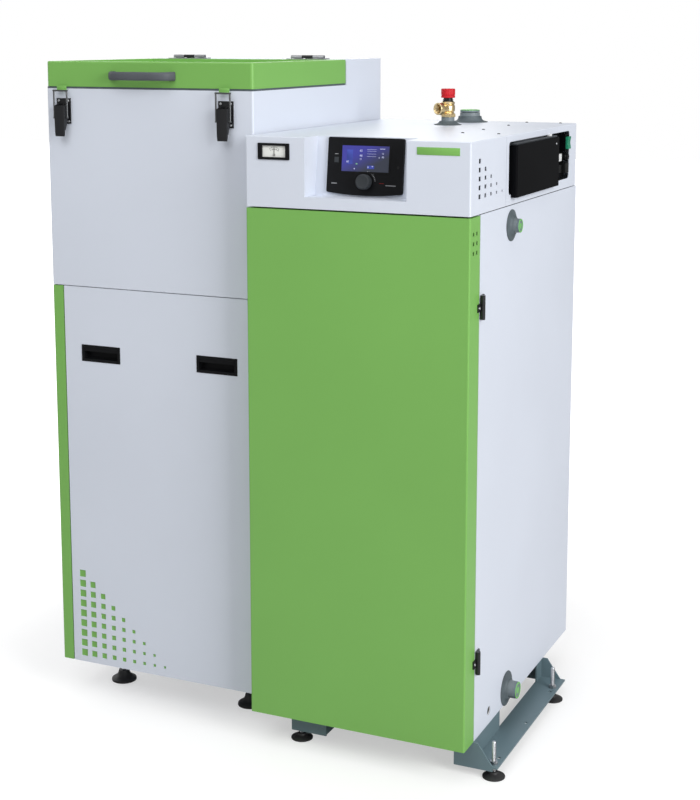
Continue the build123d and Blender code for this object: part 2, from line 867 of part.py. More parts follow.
with BuildPart() as port_rosettes:
    rosette((valve_x, valve_y, cover_top), (0, 0, 1), valve_rosette, valve_pipe_radius)
    rosette((top_port_x, top_port_y, cover_top), (0, 0, 1), top_rosette, top_port_radius)
    for port in side_ports.values():
        rosette((boiler_right, port["y"], port["z"]), (1, 0, 0), port["rosette"], port["radius"])
    for x, y, radius in ((valve_x, valve_y, valve_pipe_radius), (top_port_x, top_port_y, top_port_radius)):
        rod(
            (x, y, cover_top - 1),
            (0, 0, 1),
            radius + pipe_shoulder + rosette_bore_gap,
            rosette_height + 2,
            mode=Mode.SUBTRACT,
        )
    for port in side_ports.values():
        rod(
            (boiler_right - 1, port["y"], port["z"]),
            (1, 0, 0),
            port["radius"] + pipe_shoulder + rosette_bore_gap,
            rosette_height + 2,
            mode=Mode.SUBTRACT,
        )
pieces["port_rosettes"] = port_rosettes

# Safety valve: brass body with a side outlet, black bonnet with a spindle, red turning cap
valve_body_radius = 13.0
valve_hex_radius = 16.5
valve_hex_height = 7.0
valve_body_height = 31.5
outlet_turn = math.radians(25.0)
outlet_direction = Vector(-math.sin(outlet_turn), -math.cos(outlet_turn), 0)
outlet_z = valve_pipe_top + 17.5
outlet_radius = 12.5
outlet_thread_radius = 9.3
outlet_reach = 30.0
outlet_depth = 14.0
bonnet_radius = 11.5
bonnet_height = 7.5
spindle_radius = 4.0
spindle_height = 12.0
cap_radius = 14.7
cap_height = 19.0
cap_round = 1.5
valve_body_top = valve_pipe_top + valve_body_height
bonnet_top = valve_body_top + bonnet_height
cap_bottom = bonnet_top + seat_gap

with BuildPart() as safety_valve_body:
    with BuildSketch(Plane.XY.offset(valve_pipe_top)):
        with Locations((valve_x, valve_y)):
            RegularPolygon(valve_hex_radius, 6)
    extrude(amount=valve_hex_height)
    rod((valve_x, valve_y, valve_pipe_top), (0, 0, 1), valve_body_radius, valve_body_height)
    rod((valve_x, valve_y, outlet_z), outlet_direction, outlet_radius, outlet_reach)
    outlet_bore_start = Vector(valve_x, valve_y, outlet_z) + outlet_direction * (outlet_reach - outlet_depth)
    rod(outlet_bore_start, outlet_direction, outlet_thread_radius, outlet_depth + 1, mode=Mode.SUBTRACT)
    rod(
        (valve_x, valve_y, valve_pipe_top - 1),
        (0, 0, 1),
        valve_pipe_radius - pipe_wall - 1,
        outlet_z - valve_pipe_top + 1,
        mode=Mode.SUBTRACT,
    )
pieces["safety_valve_body"] = safety_valve_body

with BuildPart() as safety_valve_bonnet:
    cone((valve_x, valve_y, valve_body_top), (0, 0, 1), bonnet_radius, bonnet_radius - 2, bonnet_height)
    rod((valve_x, valve_y, bonnet_top), (0, 0, 1), spindle_radius, spindle_height)
pieces["safety_valve_bonnet"] = safety_valve_bonnet

with BuildPart() as safety_valve_cap:
    rod((valve_x, valve_y, cap_bottom), (0, 0, 1), cap_radius, cap_height)
    fillet(safety_valve_cap.edges().filter_by(GeomType.CIRCLE).sort_by(Axis.Z)[-1], cap_round)
    rod(
        (valve_x, valve_y, cap_bottom - 1),
        (0, 0, 1),
        spindle_radius + running,
        spindle_height + 2,
        mode=Mode.SUBTRACT,
    )
pieces["safety_valve_cap"] = safety_valve_cap

# Furnace door on the body, with a turning latch handle
furnace_margin = 22.0
furnace_thickness = 14.0
spindle = 6.0
handle_drop = 95.0
handle_width = 22.0
handle_thickness = 8.0
handle_stand_off = 8.0
furnace_left = chamber_left - furnace_margin + plate
furnace_right = chamber_right + furnace_margin - plate
furnace_front = body_front - furnace_thickness
handle_x = furnace_right - 34.0
handle_z = (door_way_low + door_way_high) / 2 + 60
handle_back = furnace_front - handle_stand_off

with BuildPart() as furnace_door:
    block(
        (furnace_left, furnace_right),
        (furnace_front, body_front),
        (door_way_low - furnace_margin, door_way_high + furnace_margin),
    )
    fillet(furnace_door.edges().filter_by(Axis.Y), 8.0)
    rod(
        (handle_x, furnace_front - 1, handle_z),
        (0, 1, 0),
        spindle + running,
        furnace_thickness + 2,
        mode=Mode.SUBTRACT,
    )
pieces["furnace_door"] = furnace_door

with BuildPart() as furnace_door_handle:
    rod(
        (handle_x, handle_back, handle_z),
        (0, 1, 0),
        spindle,
        handle_stand_off + furnace_thickness,
    )
    with BuildSketch(Plane.XZ.offset(-handle_back)):
        with Locations((handle_x, handle_z - handle_drop / 2)):
            SlotCenterToCenter(handle_drop, handle_width, rotation=90)
    extrude(amount=handle_thickness)
pieces["furnace_door_handle"] = furnace_door_handle

# Ash pan on the chamber floor
pan_gap = 12.0
pan_height = 110.0
pan_left = chamber_left + plate + pan_gap
pan_right = chamber_right - plate - pan_gap
pan_front = body_front + pan_gap
pan_rear = chamber_rear - plate - pan_gap
pan_floor = chamber_low + plate

with BuildPart() as ash_pan:
    block((pan_left, pan_right), (pan_front, pan_rear), (pan_floor, pan_floor + sheet))
    wall_foot = pan_floor + sheet + weld_gap
    for left in (pan_left, pan_right - sheet):
        block((left, left + sheet), (pan_front, pan_rear), (wall_foot, pan_floor + pan_height))
    for near in (pan_front, pan_rear - sheet):
        block(
            (pan_left + sheet + weld_gap, pan_right - sheet - weld_gap),
            (near, near + sheet),
            (wall_foot, pan_floor + pan_height),
        )
pieces["ash_pan"] = ash_pan

# Burner between the auger and the chamber
burner_left = hopper_right - sheet - 72.0
burner_half = 72.0
burner_box_right = boiler_left + body_side_gap
burner_nose = chamber_left + plate + 70.0
burner_flange_radius = burner_way + 18.0
burner_flange = 8.0
auger_outer = 50.0
auger_wall = 3.0
auger_inner = auger_outer - auger_wall

with BuildPart() as burner_body:
    block(
        (burner_left, hopper_right - sheet - 6),
        (feed_y - burner_half, feed_y + burner_half),
        (feed_z - burner_half, feed_z + burner_half),
    )
    rod(
        (hopper_right - sheet - 6, feed_y, feed_z),
        (1, 0, 0),
        burner_head_radius,
        burner_nose - hopper_right + sheet + 6,
    )
    rod(
        (body_left - burner_flange, feed_y, feed_z),
        (1, 0, 0),
        burner_flange_radius,
        burner_flange,
    )
    rod(
        (burner_left - 1, feed_y, feed_z),
        (1, 0, 0),
        auger_inner,
        burner_box_right - burner_left,
        mode=Mode.SUBTRACT,
    )
    rod(
        (burner_box_right + 20, feed_y, feed_z),
        (1, 0, 0),
        burner_head_radius - 8,
        burner_nose - burner_box_right,
        mode=Mode.SUBTRACT,
    )
pieces["burner_body"] = burner_body

# Auger tube with an inlet under the funnel, the screw inside and its gearmotor
gearbox_right = hopper_left + 128.0
gearbox_length = 66.0
gearbox_half = 42.0
inlet_half = 42.0
inlet_top = 540.0
auger_shaft = 10.0
flight_radius = 44.0
flight_pitch = 60.0
flight_thickness = 3.0
auger_left = gearbox_right

with BuildPart() as auger_tube:
    rod((auger_left, feed_y, feed_z), (1, 0, 0), auger_outer, burner_left - auger_left)
    block(
        (hopper_middle - inlet_half, hopper_middle + inlet_half),
        (feed_y - inlet_half, feed_y + inlet_half),
        (feed_z, inlet_top),
    )
    rod(
        (auger_left - 1, feed_y, feed_z),
        (1, 0, 0),
        auger_inner,
        burner_left - auger_left + 2,
        mode=Mode.SUBTRACT,
    )
    block(
        (hopper_middle - inlet_half + sheet, hopper_middle + inlet_half - sheet),
        (feed_y - inlet_half + sheet, feed_y + inlet_half - sheet),
        (feed_z, inlet_top + 1),
        mode=Mode.SUBTRACT,
    )
pieces["auger_tube"] = auger_tube

shaft_end = burner_box_right - 10.0
flight_start = auger_left + 12.0
flight_turns = 4
flight_root = 1.0

with BuildPart() as auger_screw:
    rod(
        (auger_left - gearbox_length / 2, feed_y, feed_z),
        (1, 0, 0),
        auger_shaft,
        shaft_end - auger_left + gearbox_length / 2,
    )
    with BuildLine() as flight_path:
        Helix(
            pitch=flight_pitch,
            height=flight_pitch * flight_turns,
            radius=auger_shaft - flight_root,
            center=(flight_start, feed_y, feed_z),
            direction=(1, 0, 0),
        )
    path_start = flight_path.line @ 0
    path_radial = path_start - Vector(flight_start, feed_y, feed_z)
    with BuildSketch(Plane(origin=path_start, x_dir=path_radial, z_dir=flight_path.line % 0)):
        with Locations(((flight_radius - auger_shaft + flight_root) / 2, 0)):
            Rectangle(flight_radius - auger_shaft + flight_root, flight_thickness)
    sweep(path=flight_path.line, is_frenet=True)
pieces["auger_screw"] = auger_screw

motor_radius = 38.0
motor_length = 120.0
gearbox_left = gearbox_right - gearbox_length

with BuildPart() as gearmotor:
    block(
        (gearbox_left, gearbox_right),
        (feed_y - gearbox_half, feed_y + gearbox_half),
        (feed_z - gearbox_half, feed_z + gearbox_half),
    )
    fillet(gearmotor.edges().filter_by(Axis.X), 6.0)
    rod(
        ((gearbox_left + gearbox_right) / 2 - 2, feed_y - gearbox_half + 1, feed_z),
        (0, -1, 0),
        motor_radius - 6,
        motor_length,
    )
    rod(
        (auger_left - gearbox_length / 2 - 1, feed_y, feed_z),
        (1, 0, 0),
        auger_shaft + running,
        gearbox_length,
        mode=Mode.SUBTRACT,
    )
pieces["gearmotor"] = gearmotor

# Burner fan: a round housing under the burner box, its wheel on a fixed spindle
fan_radius = 62.0
fan_wall = 2.0
fan_width = 54.0
fan_x = burner_left + 4.0
fan_z = feed_z - burner_half - 66.0
fan_y0 = feed_y - fan_width / 2
fan_spindle = 4.0
wheel_radius = 52.0
wheel_hub = 12.0
blade_count = 12

with BuildPart() as fan_housing:
    rod((fan_x, fan_y0, fan_z), (0, 1, 0), fan_radius, fan_width)
    block((fan_x + 8, fan_x + fan_radius), (fan_y0, fan_y0 + fan_width), (fan_z, feed_z - burner_half))
    rod(
        (fan_x, fan_y0 + fan_wall, fan_z),
        (0, 1, 0),
        fan_radius - fan_wall,
        fan_width - 2 * fan_wall,
        mode=Mode.SUBTRACT,
    )
    block(
        (fan_x + 8 + fan_wall, fan_x + fan_radius - fan_wall),
        (fan_y0 + fan_wall, fan_y0 + fan_width - fan_wall),
        (fan_z, feed_z - burner_half + 1),
        mode=Mode.SUBTRACT,
    )
    rod((fan_x, fan_y0 - 1, fan_z), (0, 1, 0), 30.0, fan_wall + 2, mode=Mode.SUBTRACT)
    rod((fan_x, fan_y0 + fan_width - fan_wall, fan_z), (0, -1, 0), fan_spindle, fan_width - 12)
    rod((fan_x, fan_y0 + fan_width, fan_z), (0, 1, 0), 34.0, 46.0)
pieces["fan_housing"] = fan_housing

with BuildPart() as fan_wheel:
    rod((fan_x, fan_y0 + fan_width - 10, fan_z), (0, -1, 0), wheel_radius, 2.0)
    rod((fan_x, fan_y0 + fan_width - 10, fan_z), (0, -1, 0), wheel_hub, 24.0)
    for blade in range(blade_count):
        angle = 2 * math.pi * blade / blade_count
        radial = Vector(math.cos(angle), 0, math.sin(angle))
        across = Vector(0, -1, 0)
        middle = Vector(fan_x, fan_y0 + fan_width - 10 - 14, fan_z) + radial * (wheel_radius - 10)
        with Locations(Plane(origin=middle, x_dir=radial, z_dir=across)):
            Box(18, 2, 26)
    rod((fan_x, fan_y0 + fan_width, fan_z), (0, -1, 0), fan_spindle + running, fan_width, mode=Mode.SUBTRACT)
pieces["fan_wheel"] = fan_wheel

# Base: two folded rails with gussets, joined by flat cross members
rail_sheet = 3.0
rail_flange_low = 22.6
rail_flange_high = rail_flange_low + rail_sheet
rail_outer = boiler_right + 49.0
rail_web_face = boiler_right - 2.2
rail_front = door_back - 4.0
rail_rear = front + 486.0
web_front_end = front + 209.0
web_rear_start = front + 450.0
gusset_in = 35.0
gusset_low = 16.5
gusset_slope_top = 12.0
left_rail_left = boiler_left + 64.5
left_rail_right = boiler_left + 139.0
foot_right_x = boiler_right + foot_offset
foot_left_x = boiler_left + 80.0
foot_front_y = front + 61.5
foot_rear_y = front + 435.0
rail_hole_radius = 4.0
stud_radius = 4.0

with BuildPart() as base_rails:
    block(
        (rail_web_face - rail_sheet, rail_outer),
        (rail_front, rail_rear),
        (rail_flange_low, rail_flange_high),
    )
    for y0, y1 in ((rail_front, web_front_end), (web_rear_start, rail_rear)):
        block((rail_web_face - rail_sheet, rail_web_face), (y0, y1), (rail_flange_low, casing_bottom))
    for y0 in (rail_front, rail_rear - rail_sheet):
        with BuildSketch(Plane.XZ.offset(-(y0 + rail_sheet))):
            with BuildLine():
                Polyline(
                    (rail_web_face - gusset_in, gusset_low),
                    (rail_outer - 10, gusset_low),
                    (rail_outer - 10, rail_flange_high),
                    (rail_web_face + gusset_slope_top, casing_bottom),
                    (rail_web_face - gusset_in, casing_bottom),
                    close=True,
                )
            make_face()
        extrude(amount=rail_sheet)
    block(
        (left_rail_left, left_rail_right),
        (rail_front, rail_rear),
        (rail_flange_low, rail_flange_high),
    )
    block(
        (left_rail_right - rail_sheet, left_rail_right),
        (rail_front, rail_rear),
        (rail_flange_low, casing_bottom),
    )
    block((left_rail_left, left_rail_right), (rail_front, rail_front + rail_sheet), (20.5, casing_bottom))
    for x, y in (
        (foot_right_x, foot_front_y),
        (foot_right_x, foot_rear_y),
        (foot_left_x, foot_front_y),
        (foot_left_x, foot_rear_y),
    ):
        rod((x, y, 0), (0, 0, 1), stud_radius + seat_gap, casing_bottom, mode=Mode.SUBTRACT)
    for y in (foot_front_y + 28, front + 254, foot_rear_y - 20):
        rod((foot_right_x, y, 0), (0, 0, 1), rail_hole_radius, casing_bottom, mode=Mode.SUBTRACT)
pieces["base_rails"] = base_rails

cross_width = 45.0
with BuildPart() as base_cross_members:
    for y0 in (front + 110.0, web_rear_start - 10.0):
        block(
            (left_rail_left, rail_web_face),
            (y0, y0 + cross_width),
            (casing_bottom, body_bottom),
        )
pieces["base_cross_members"] = base_cross_members

# Levelling feet: flat discs under the boiler rails, tall rubber cones under the hopper
disc_height = 6.0
disc_boss = 12.0
cone_radius = 26.5
cone_height = 24.0
cone_rim = 5.0
hopper_feet = [
    (x, y)
    for x in (hopper_left + 76.5, hopper_right - 76.5)
    for y in (front + 156.5, front + 560.0)
]
rail_feet = [
    (foot_right_x, foot_front_y),
    (foot_right_x, foot_rear_y),
    (foot_left_x, foot_front_y),
    (foot_left_x, foot_rear_y),
]

with BuildPart() as levelling_feet:
    for x, y in rail_feet:
        rod((x, y, 0), (0, 0, 1), disc_radius, disc_height / 2)
        cone((x, y, disc_height / 2), (0, 0, 1), disc_radius, 8.0, disc_boss - disc_height / 2)
        rod((x, y, disc_height), (0, 0, 1), stud_radius, disc_boss, mode=Mode.SUBTRACT)
    for x, y in hopper_feet:
        rod((x, y, 0), (0, 0, 1), cone_radius, cone_rim)
        cone((x, y, cone_rim), (0, 0, 1), cone_radius, 11.0, cone_height - cone_rim)
        rod((x, y, disc_height), (0, 0, 1), stud_radius, cone_height, mode=Mode.SUBTRACT)
pieces["levelling_feet"] = levelling_feet

stud_top = 70.5
nut_across = 13.0
nut_height = 6.5

with BuildPart() as levelling_studs:
    for x, y in rail_feet[:2]:
        rod((x, y, disc_height), (0, 0, 1), stud_radius, stud_top - disc_height)
    for x, y in rail_feet[2:]:
        rod((x, y, disc_height), (0, 0, 1), stud_radius, casing_bottom - disc_height - 4)
    for x, y in hopper_feet:
        rod((x, y, disc_height), (0, 0, 1), stud_radius, hopper_bottom + 16 - disc_height)
pieces["levelling_studs"] = levelling_studs


def hex_nut(x, y, z):
    """A nut round a stud, standing on z."""
    with BuildSketch(Plane.XY.offset(z)) as outline:
        with Locations((x, y)):
            RegularPolygon(nut_across / 2, 6, major_radius=False)
            Circle(stud_radius, mode=Mode.SUBTRACT)
    extrude(outline.sketch, amount=nut_height)


with BuildPart() as levelling_nuts:
    for x, y in rail_feet:
        hex_nut(x, y, rail_flange_high)
        hex_nut(x, y, rail_flange_low - nut_height)
    for x, y in hopper_feet:
        hex_nut(x, y, hopper_bottom - nut_height)
        hex_nut(x, y, hopper_bottom + 2 * sheet)
pieces["levelling_nuts"] = levelling_nuts

# Hopper lower casing: sides, back and floor, open to the front where the panel hangs
panel_thick = 16.0
casing_front = hopper_front + panel_thick + seat_gap
hopper_rear = rear

with BuildPart() as hopper_lower_casing:
    block((hopper_left, hopper_right), (casing_front, hopper_rear), (hopper_bottom, hopper_seam))
    block(
        (hopper_left + sheet, hopper_right - sheet),
        (casing_front - 1, hopper_rear - sheet),
        (hopper_bottom + 2 * sheet, hopper_seam + 1),
        mode=Mode.SUBTRACT,
    )
    rod(
        (hopper_right - 2 * sheet, feed_y, feed_z),
        (1, 0, 0),
        burner_head_radius + wall_clearance,
        4 * sheet,
        mode=Mode.SUBTRACT,
    )
    for x, y in hopper_feet:
        rod((x, y, 0), (0, 0, 1), stud_radius + seat_gap, 2 * hopper_bottom, mode=Mode.SUBTRACT)
pieces["hopper_lower_casing"] = hopper_lower_casing

with BuildPart() as corner_trim:
    block(
        (hopper_left, hopper_left + trim_width),
        (hopper_front, casing_front),
        (hopper_bottom, hopper_seam - panel_gap),
    )
    fillet(
        corner_trim.edges().filter_by(Axis.Z).group_by(Axis.Y)[0].sort_by(Axis.X)[0],
        corner_round,
    )
    block(
        (hopper_left + sheet, hopper_left + trim_width - sheet),
        (hopper_front + sheet, casing_front + 1),
        (hopper_bottom - 1, hopper_seam),
        mode=Mode.SUBTRACT,
    )
pieces["corner_trim"] = corner_trim

# Removable front panel: a tray with square perforations and two flush handles
panel_left = hopper_left + trim_width + 2.0
panel_top_z = hopper_seam - panel_gap
perforation_columns = 9
perforation_first_x = hopper_left + 52.0
perforation_low_z = 98.0
perforation_pitch_x = 24.1
perforation_pitch_z = 21.4
perforation_size = 15.0
perforation_ratio = 0.88
handle_centres = (hopper_left + 110.5, hopper_right - 84.5)
flush_z = 735.5
flush_width = 90.0
flush_height = 34.0
cup_width = 78.0
cup_height = 23.0
cup_depth = 15.0
cup_wall = 1.0

with BuildPart() as hopper_front_panel:
    block(
        (panel_left, hopper_right),
        (hopper_front, hopper_front + panel_thick),
        (hopper_bottom, panel_top_z),
    )
    block(
        (panel_left + sheet, hopper_right - sheet),
        (hopper_front + sheet, hopper_front + panel_thick + 1),
        (hopper_bottom + sheet, panel_top_z - sheet),
        mode=Mode.SUBTRACT,
    )
    with BuildSketch(Plane.XZ.offset(-(hopper_front + 2 * sheet))) as perforations:
        for column in range(perforation_columns):
            size = perforation_size * perforation_ratio**column
            with Locations(
                *[
                    (
                        perforation_first_x + column * perforation_pitch_x,
                        perforation_low_z + row * perforation_pitch_z,
                    )
                    for row in range(perforation_columns - column)
                ]
            ):
                Rectangle(size, size)
        with Locations(*[(x, flush_z) for x in handle_centres]):
            Rectangle(cup_width + 2 * cup_wall + 1, cup_height + 2 * cup_wall + 1)
    extrude(amount=4 * sheet, mode=Mode.SUBTRACT)
pieces["hopper_front_panel"] = hopper_front_panel

backing_width = perforation_first_x + (perforation_columns - 1) * perforation_pitch_x + 20 - panel_left
backing_top = perforation_low_z + perforation_columns * perforation_pitch_z
with BuildPart() as vent_backing:
    block(
        (panel_left + 2 * sheet, panel_left + backing_width),
        (hopper_front + sheet, hopper_front + 2 * sheet),
        (hopper_bottom + sheet, backing_top),
    )
pieces["vent_backing"] = vent_backing

flush_rim = 1.2
with BuildPart() as flush_handles:
    for x in handle_centres:
        block(
            (x - flush_width / 2, x + flush_width / 2),
            (hopper_front - flush_rim, hopper_front),
            (flush_z - flush_height / 2, flush_z + flush_height / 2),
        )
        block(
            (x - cup_width / 2 - cup_wall, x + cup_width / 2 + cup_wall),
            (hopper_front, hopper_front + cup_depth + cup_wall),
            (flush_z - cup_height / 2 - cup_wall, flush_z + cup_height / 2 + cup_wall),
        )
        block(
            (x - cup_width / 2, x + cup_width / 2),
            (hopper_front - 2 * flush_rim, hopper_front + cup_depth),
            (flush_z - cup_height / 2, flush_z + cup_height / 2),
            mode=Mode.SUBTRACT,
        )
pieces["flush_handles"] = flush_handles

# Hopper shell: the upper cabinet, stepping up behind the lid
shell_bottom = hopper_seam
head_front = lid_rear + lid_rear_gap
head_top = lid_top + 0.5
rim_flange = 18.0
step_round = 14.0

with BuildPart() as hopper_shell:
    with BuildSketch(Plane.YZ.offset(hopper_left)) as flank:
        with BuildLine():
            Polyline(
                (hopper_front, shell_bottom),
                (hopper_rear, shell_bottom),
                (hopper_rear, head_top),
                (head_front, head_top),
                (head_front, hopper_rim),
                (hopper_front, hopper_rim),
                close=True,
            )
        make_face()
    extrude(amount=hopper_width)
    fillet(hopper_shell.edges().filter_by(Axis.Z).group_by(Axis.Y)[0], corner_round)
    fillet(hopper_shell.edges().filter_by(Axis.Z).group_by(Axis.Y)[-1], 2 * corner_round)
    block(
        (hopper_left + sheet, hopper_right - sheet),
        (hopper_front + sheet, hopper_rear - sheet),
        (shell_bottom - 1, hopper_rim - sheet),
        mode=Mode.SUBTRACT,
    )
    block(
        (hopper_left + sheet, hopper_right - sheet),
        (head_front + sheet, hopper_rear - sheet),
        (shell_bottom, head_top - sheet),
        mode=Mode.SUBTRACT,
    )
    block(
        (hopper_left + rim_flange, hopper_right - rim_flange),
        (hopper_front + rim_flange, head_front - rim_flange),
        (hopper_rim - 2 * sheet, hopper_rim + 1),
        mode=Mode.SUBTRACT,
    )
pieces["hopper_shell"] = hopper_shell

# Funnel under the rim, tapering down to the auger inlet
funnel_inset = 8.0
funnel_wall = 1.5
funnel_straight = 905.0
funnel_top = hopper_rim - sheet
funnel_left = hopper_left + funnel_inset
funnel_right = hopper_right - funnel_inset
funnel_front = hopper_front + funnel_inset
funnel_rear = head_front - funnel_inset

inlet_left = hopper_middle - inlet_half
inlet_right = hopper_middle + inlet_half
inlet_front = feed_y - inlet_half
inlet_rear = feed_y + inlet_half


def sloping_sheet(narrow, wide):
    """A sheet from the inlet up to the upright walls, between two rectangles."""
    ends = []
    for (left, right, near, far), height in ((narrow, inlet_top), (wide, funnel_straight - weld_gap)):
        with BuildSketch(Plane.XY.offset(height)) as end_outline:
            with Locations(((left + right) / 2, (near + far) / 2)):
                Rectangle(right - left, far - near)
        ends.append(end_outline.sketch.face())
    loft(ends)


with BuildPart() as hopper_funnel:
    upright = (funnel_straight, funnel_top)
    for left in (funnel_left, funnel_right - funnel_wall):
        block((left, left + funnel_wall), (funnel_front, funnel_rear), upright)
    fold = funnel_wall + weld_gap
    for near in (funnel_front, funnel_rear - funnel_wall):
        block((funnel_left + fold, funnel_right - fold), (near, near + funnel_wall), upright)
    sloping_sheet(
        (inlet_left, inlet_left + funnel_wall, inlet_front, inlet_rear),
        (funnel_left, funnel_left + funnel_wall, funnel_front, funnel_rear),
    )
    sloping_sheet(
        (inlet_right - funnel_wall, inlet_right, inlet_front, inlet_rear),
        (funnel_right - funnel_wall, funnel_right, funnel_front, funnel_rear),
    )
    sloping_sheet(
        (inlet_left + fold, inlet_right - fold, inlet_front, inlet_front + funnel_wall),
        (funnel_left + fold, funnel_right - fold, funnel_front, funnel_front + funnel_wall),
    )
    sloping_sheet(
        (inlet_left + fold, inlet_right - fold, inlet_rear - funnel_wall, inlet_rear),
        (funnel_left + fold, funnel_right - fold, funnel_rear - funnel_wall, funnel_rear),
    )
pieces["hopper_funnel"] = hopper_funnel

# Lid: a pan with a sunk top, its gasket, bow handle and keepers
lid_front = hopper_front
lid_rim = 12.0
lid_rear_rim = 40.0
lid_recess = 22.0
lid_wall = 2.5
lid_floor = 2.0
lid_round = 6.0

with BuildPart() as hopper_lid:
    block((hopper_left, hopper_right), (lid_front, lid_rear), (lid_bottom, lid_top))
    fillet(hopper_lid.edges().filter_by(Axis.Z).group_by(Axis.Y)[0], lid_round)
    fillet(hopper_lid.faces().sort_by(Axis.Z)[-1].edges().sort_by(Axis.Y)[:-1], lid_round / 2)
    block(
        (hopper_left + lid_rim, hopper_right - lid_rim),
        (lid_front + lid_rim, lid_rear - lid_rear_rim),
        (lid_top - lid_recess, lid_top + 1),
        mode=Mode.SUBTRACT,
    )
    block(
        (hopper_left + lid_wall, hopper_right - lid_wall),
        (lid_front + lid_wall, lid_rear - lid_wall),
        (lid_bottom - 1, lid_top - lid_recess - lid_floor),
        mode=Mode.SUBTRACT,
    )
pieces["hopper_lid"] = hopper_lid

gasket_inset = 1.0
gasket_width = 14.0
with BuildPart() as lid_gasket:
    block(
        (hopper_left + gasket_inset, hopper_right - gasket_inset),
        (hopper_front + gasket_inset, lid_rear),
        (hopper_rim, lid_bottom - seat_gap),
    )
    block(
        (hopper_left + gasket_inset + gasket_width, hopper_right - gasket_inset - gasket_width),
        (hopper_front + gasket_inset + gasket_width, lid_rear - gasket_width),
        (hopper_rim - 1, lid_bottom),
        mode=Mode.SUBTRACT,
    )
pieces["lid_gasket"] = lid_gasket

bow_width = 147.0
bow_reach = 30.0
bow_bar = 9.0
bow_height = 17.0
bow_x = hopper_left + 221.0
bow_z = lid_bottom + 22.0
bow_foot = 24.0

with BuildPart() as lid_handle:
    with BuildSketch(Plane.XY.offset(bow_z - bow_height / 2)):
        with BuildLine():
            Polyline(
                (bow_x - bow_width / 2, lid_front),
                (bow_x - bow_width / 2 + bow_bar, lid_front - bow_reach),
                (bow_x + bow_width / 2 - bow_bar, lid_front - bow_reach),
                (bow_x + bow_width / 2, lid_front),
                (bow_x + bow_width / 2 - bow_foot, lid_front),
                (bow_x + bow_width / 2 - bow_foot - 5, lid_front - bow_reach + bow_bar),
                (bow_x - bow_width / 2 + bow_foot + 5, lid_front - bow_reach + bow_bar),
                (bow_x - bow_width / 2 + bow_foot, lid_front),
                close=True,
            )
        make_face()
    extrude(amount=bow_height)
    fillet(lid_handle.edges().filter_by(Axis.Z).group_by(Axis.Y)[0], 7.0)
pieces["lid_handle"] = lid_handle

# Toggle latches: base and ears on the shell, lever on a pin, wire bail, keeper tongue on the lid
latch_centres = (hopper_left + 39.5, hopper_right - 57.0)
latch_pin_radius = 2.0
latch_axis_y = hopper_front - 8.0
latch_axis_z = 1228.0
bail_axis_y = latch_axis_y - 4.5
bail_axis_z = latch_axis_z - 22.0
bail_wire = 1.75
bail_half = 15.0
bail_top_z = 1259.0
keeper_reach = 9.0
keeper_half = 12.0
lever_half = 12.0
lever_wall = 2.0
lever_foot = 1170.0
ear_half = 8.0
ear_wall = 2.0
latch_plate = 2.0

with BuildPart() as latch_bases:
    for x in latch_centres:
        block(
            (x - 16, x + 16),
            (hopper_front - latch_plate, hopper_front),
            (latch_axis_z - 34, latch_axis_z + 16),
        )
        for side in (-1, 1):
            outer = x + side * ear_half
            inner = x + side * (ear_half - ear_wall)
            block(
                (min(outer, inner), max(outer, inner)),
                (latch_axis_y - 4, hopper_front),
                (latch_axis_z - 6, latch_axis_z + 6),
            )
        rod(
            (x - lever_half - 0.5, latch_axis_y, latch_axis_z),
            (1, 0, 0),
            latch_pin_radius,
            2 * lever_half + 1,
        )
pieces["latch_bases"] = latch_bases


def lever(x):
    """A tapered channel that hangs from the latch pin."""
    with BuildSketch(Plane.YZ.offset(x - lever_half)) as cheek:
        with BuildLine():
            Polyline(
                (latch_axis_y - 11, latch_axis_z),
                (latch_axis_y - 11, lever_foot),
                (latch_axis_y - 9, lever_foot),
                (latch_axis_y + 1, bail_axis_z - 6),
                (latch_axis_y + 4.9, latch_axis_z),
                close=True,
            )
        make_face()
        with Locations((latch_axis_y, latch_axis_z)):
            Circle(4.9)
    extrude(cheek.sketch, amount=2 * lever_half)
    block(
        (x - lever_half + lever_wall, x + lever_half - lever_wall),
        (latch_axis_y - 9, latch_axis_y + 20),
        (lever_foot - 1, latch_axis_z + 20),
        mode=Mode.SUBTRACT,
    )
    rod(
        (x - 2 * lever_half, latch_axis_y, latch_axis_z),
        (1, 0, 0),
        latch_pin_radius + running,
        4 * lever_half,
        mode=Mode.SUBTRACT,
    )
    rod(
        (x - 2 * lever_half, bail_axis_y, bail_axis_z),
        (1, 0, 0),
        bail_wire + running,
        4 * lever_half,
        mode=Mode.SUBTRACT,
    )


def bail(x):
    """A wire frame from the lever's lower pivot up to the keeper."""
    for side in (-1, 1):
        rod((x + side * bail_half, bail_axis_y, bail_axis_z), (0, 0, 1), bail_wire, bail_top_z - bail_axis_z)
        rod(
            (x + side * (bail_half + bail_wire), bail_axis_y, bail_axis_z),
            (-side, 0, 0),
            bail_wire,
            bail_half + bail_wire - lever_half + lever_wall,
        )
    rod(
        (x - bail_half - bail_wire, bail_axis_y, bail_top_z),
        (1, 0, 0),
        bail_wire,
        2 * (bail_half + bail_wire),
    )


with BuildPart() as latch_lever_left:
    lever(latch_centres[0])
pieces["latch_lever_left"] = latch_lever_left

with BuildPart() as latch_lever_right:
    lever(latch_centres[1])
pieces["latch_lever_right"] = latch_lever_right

with BuildPart() as latch_bail_left:
    bail(latch_centres[0])
pieces["latch_bail_left"] = latch_bail_left

with BuildPart() as latch_bail_right:
    bail(latch_centres[1])
pieces["latch_bail_right"] = latch_bail_right

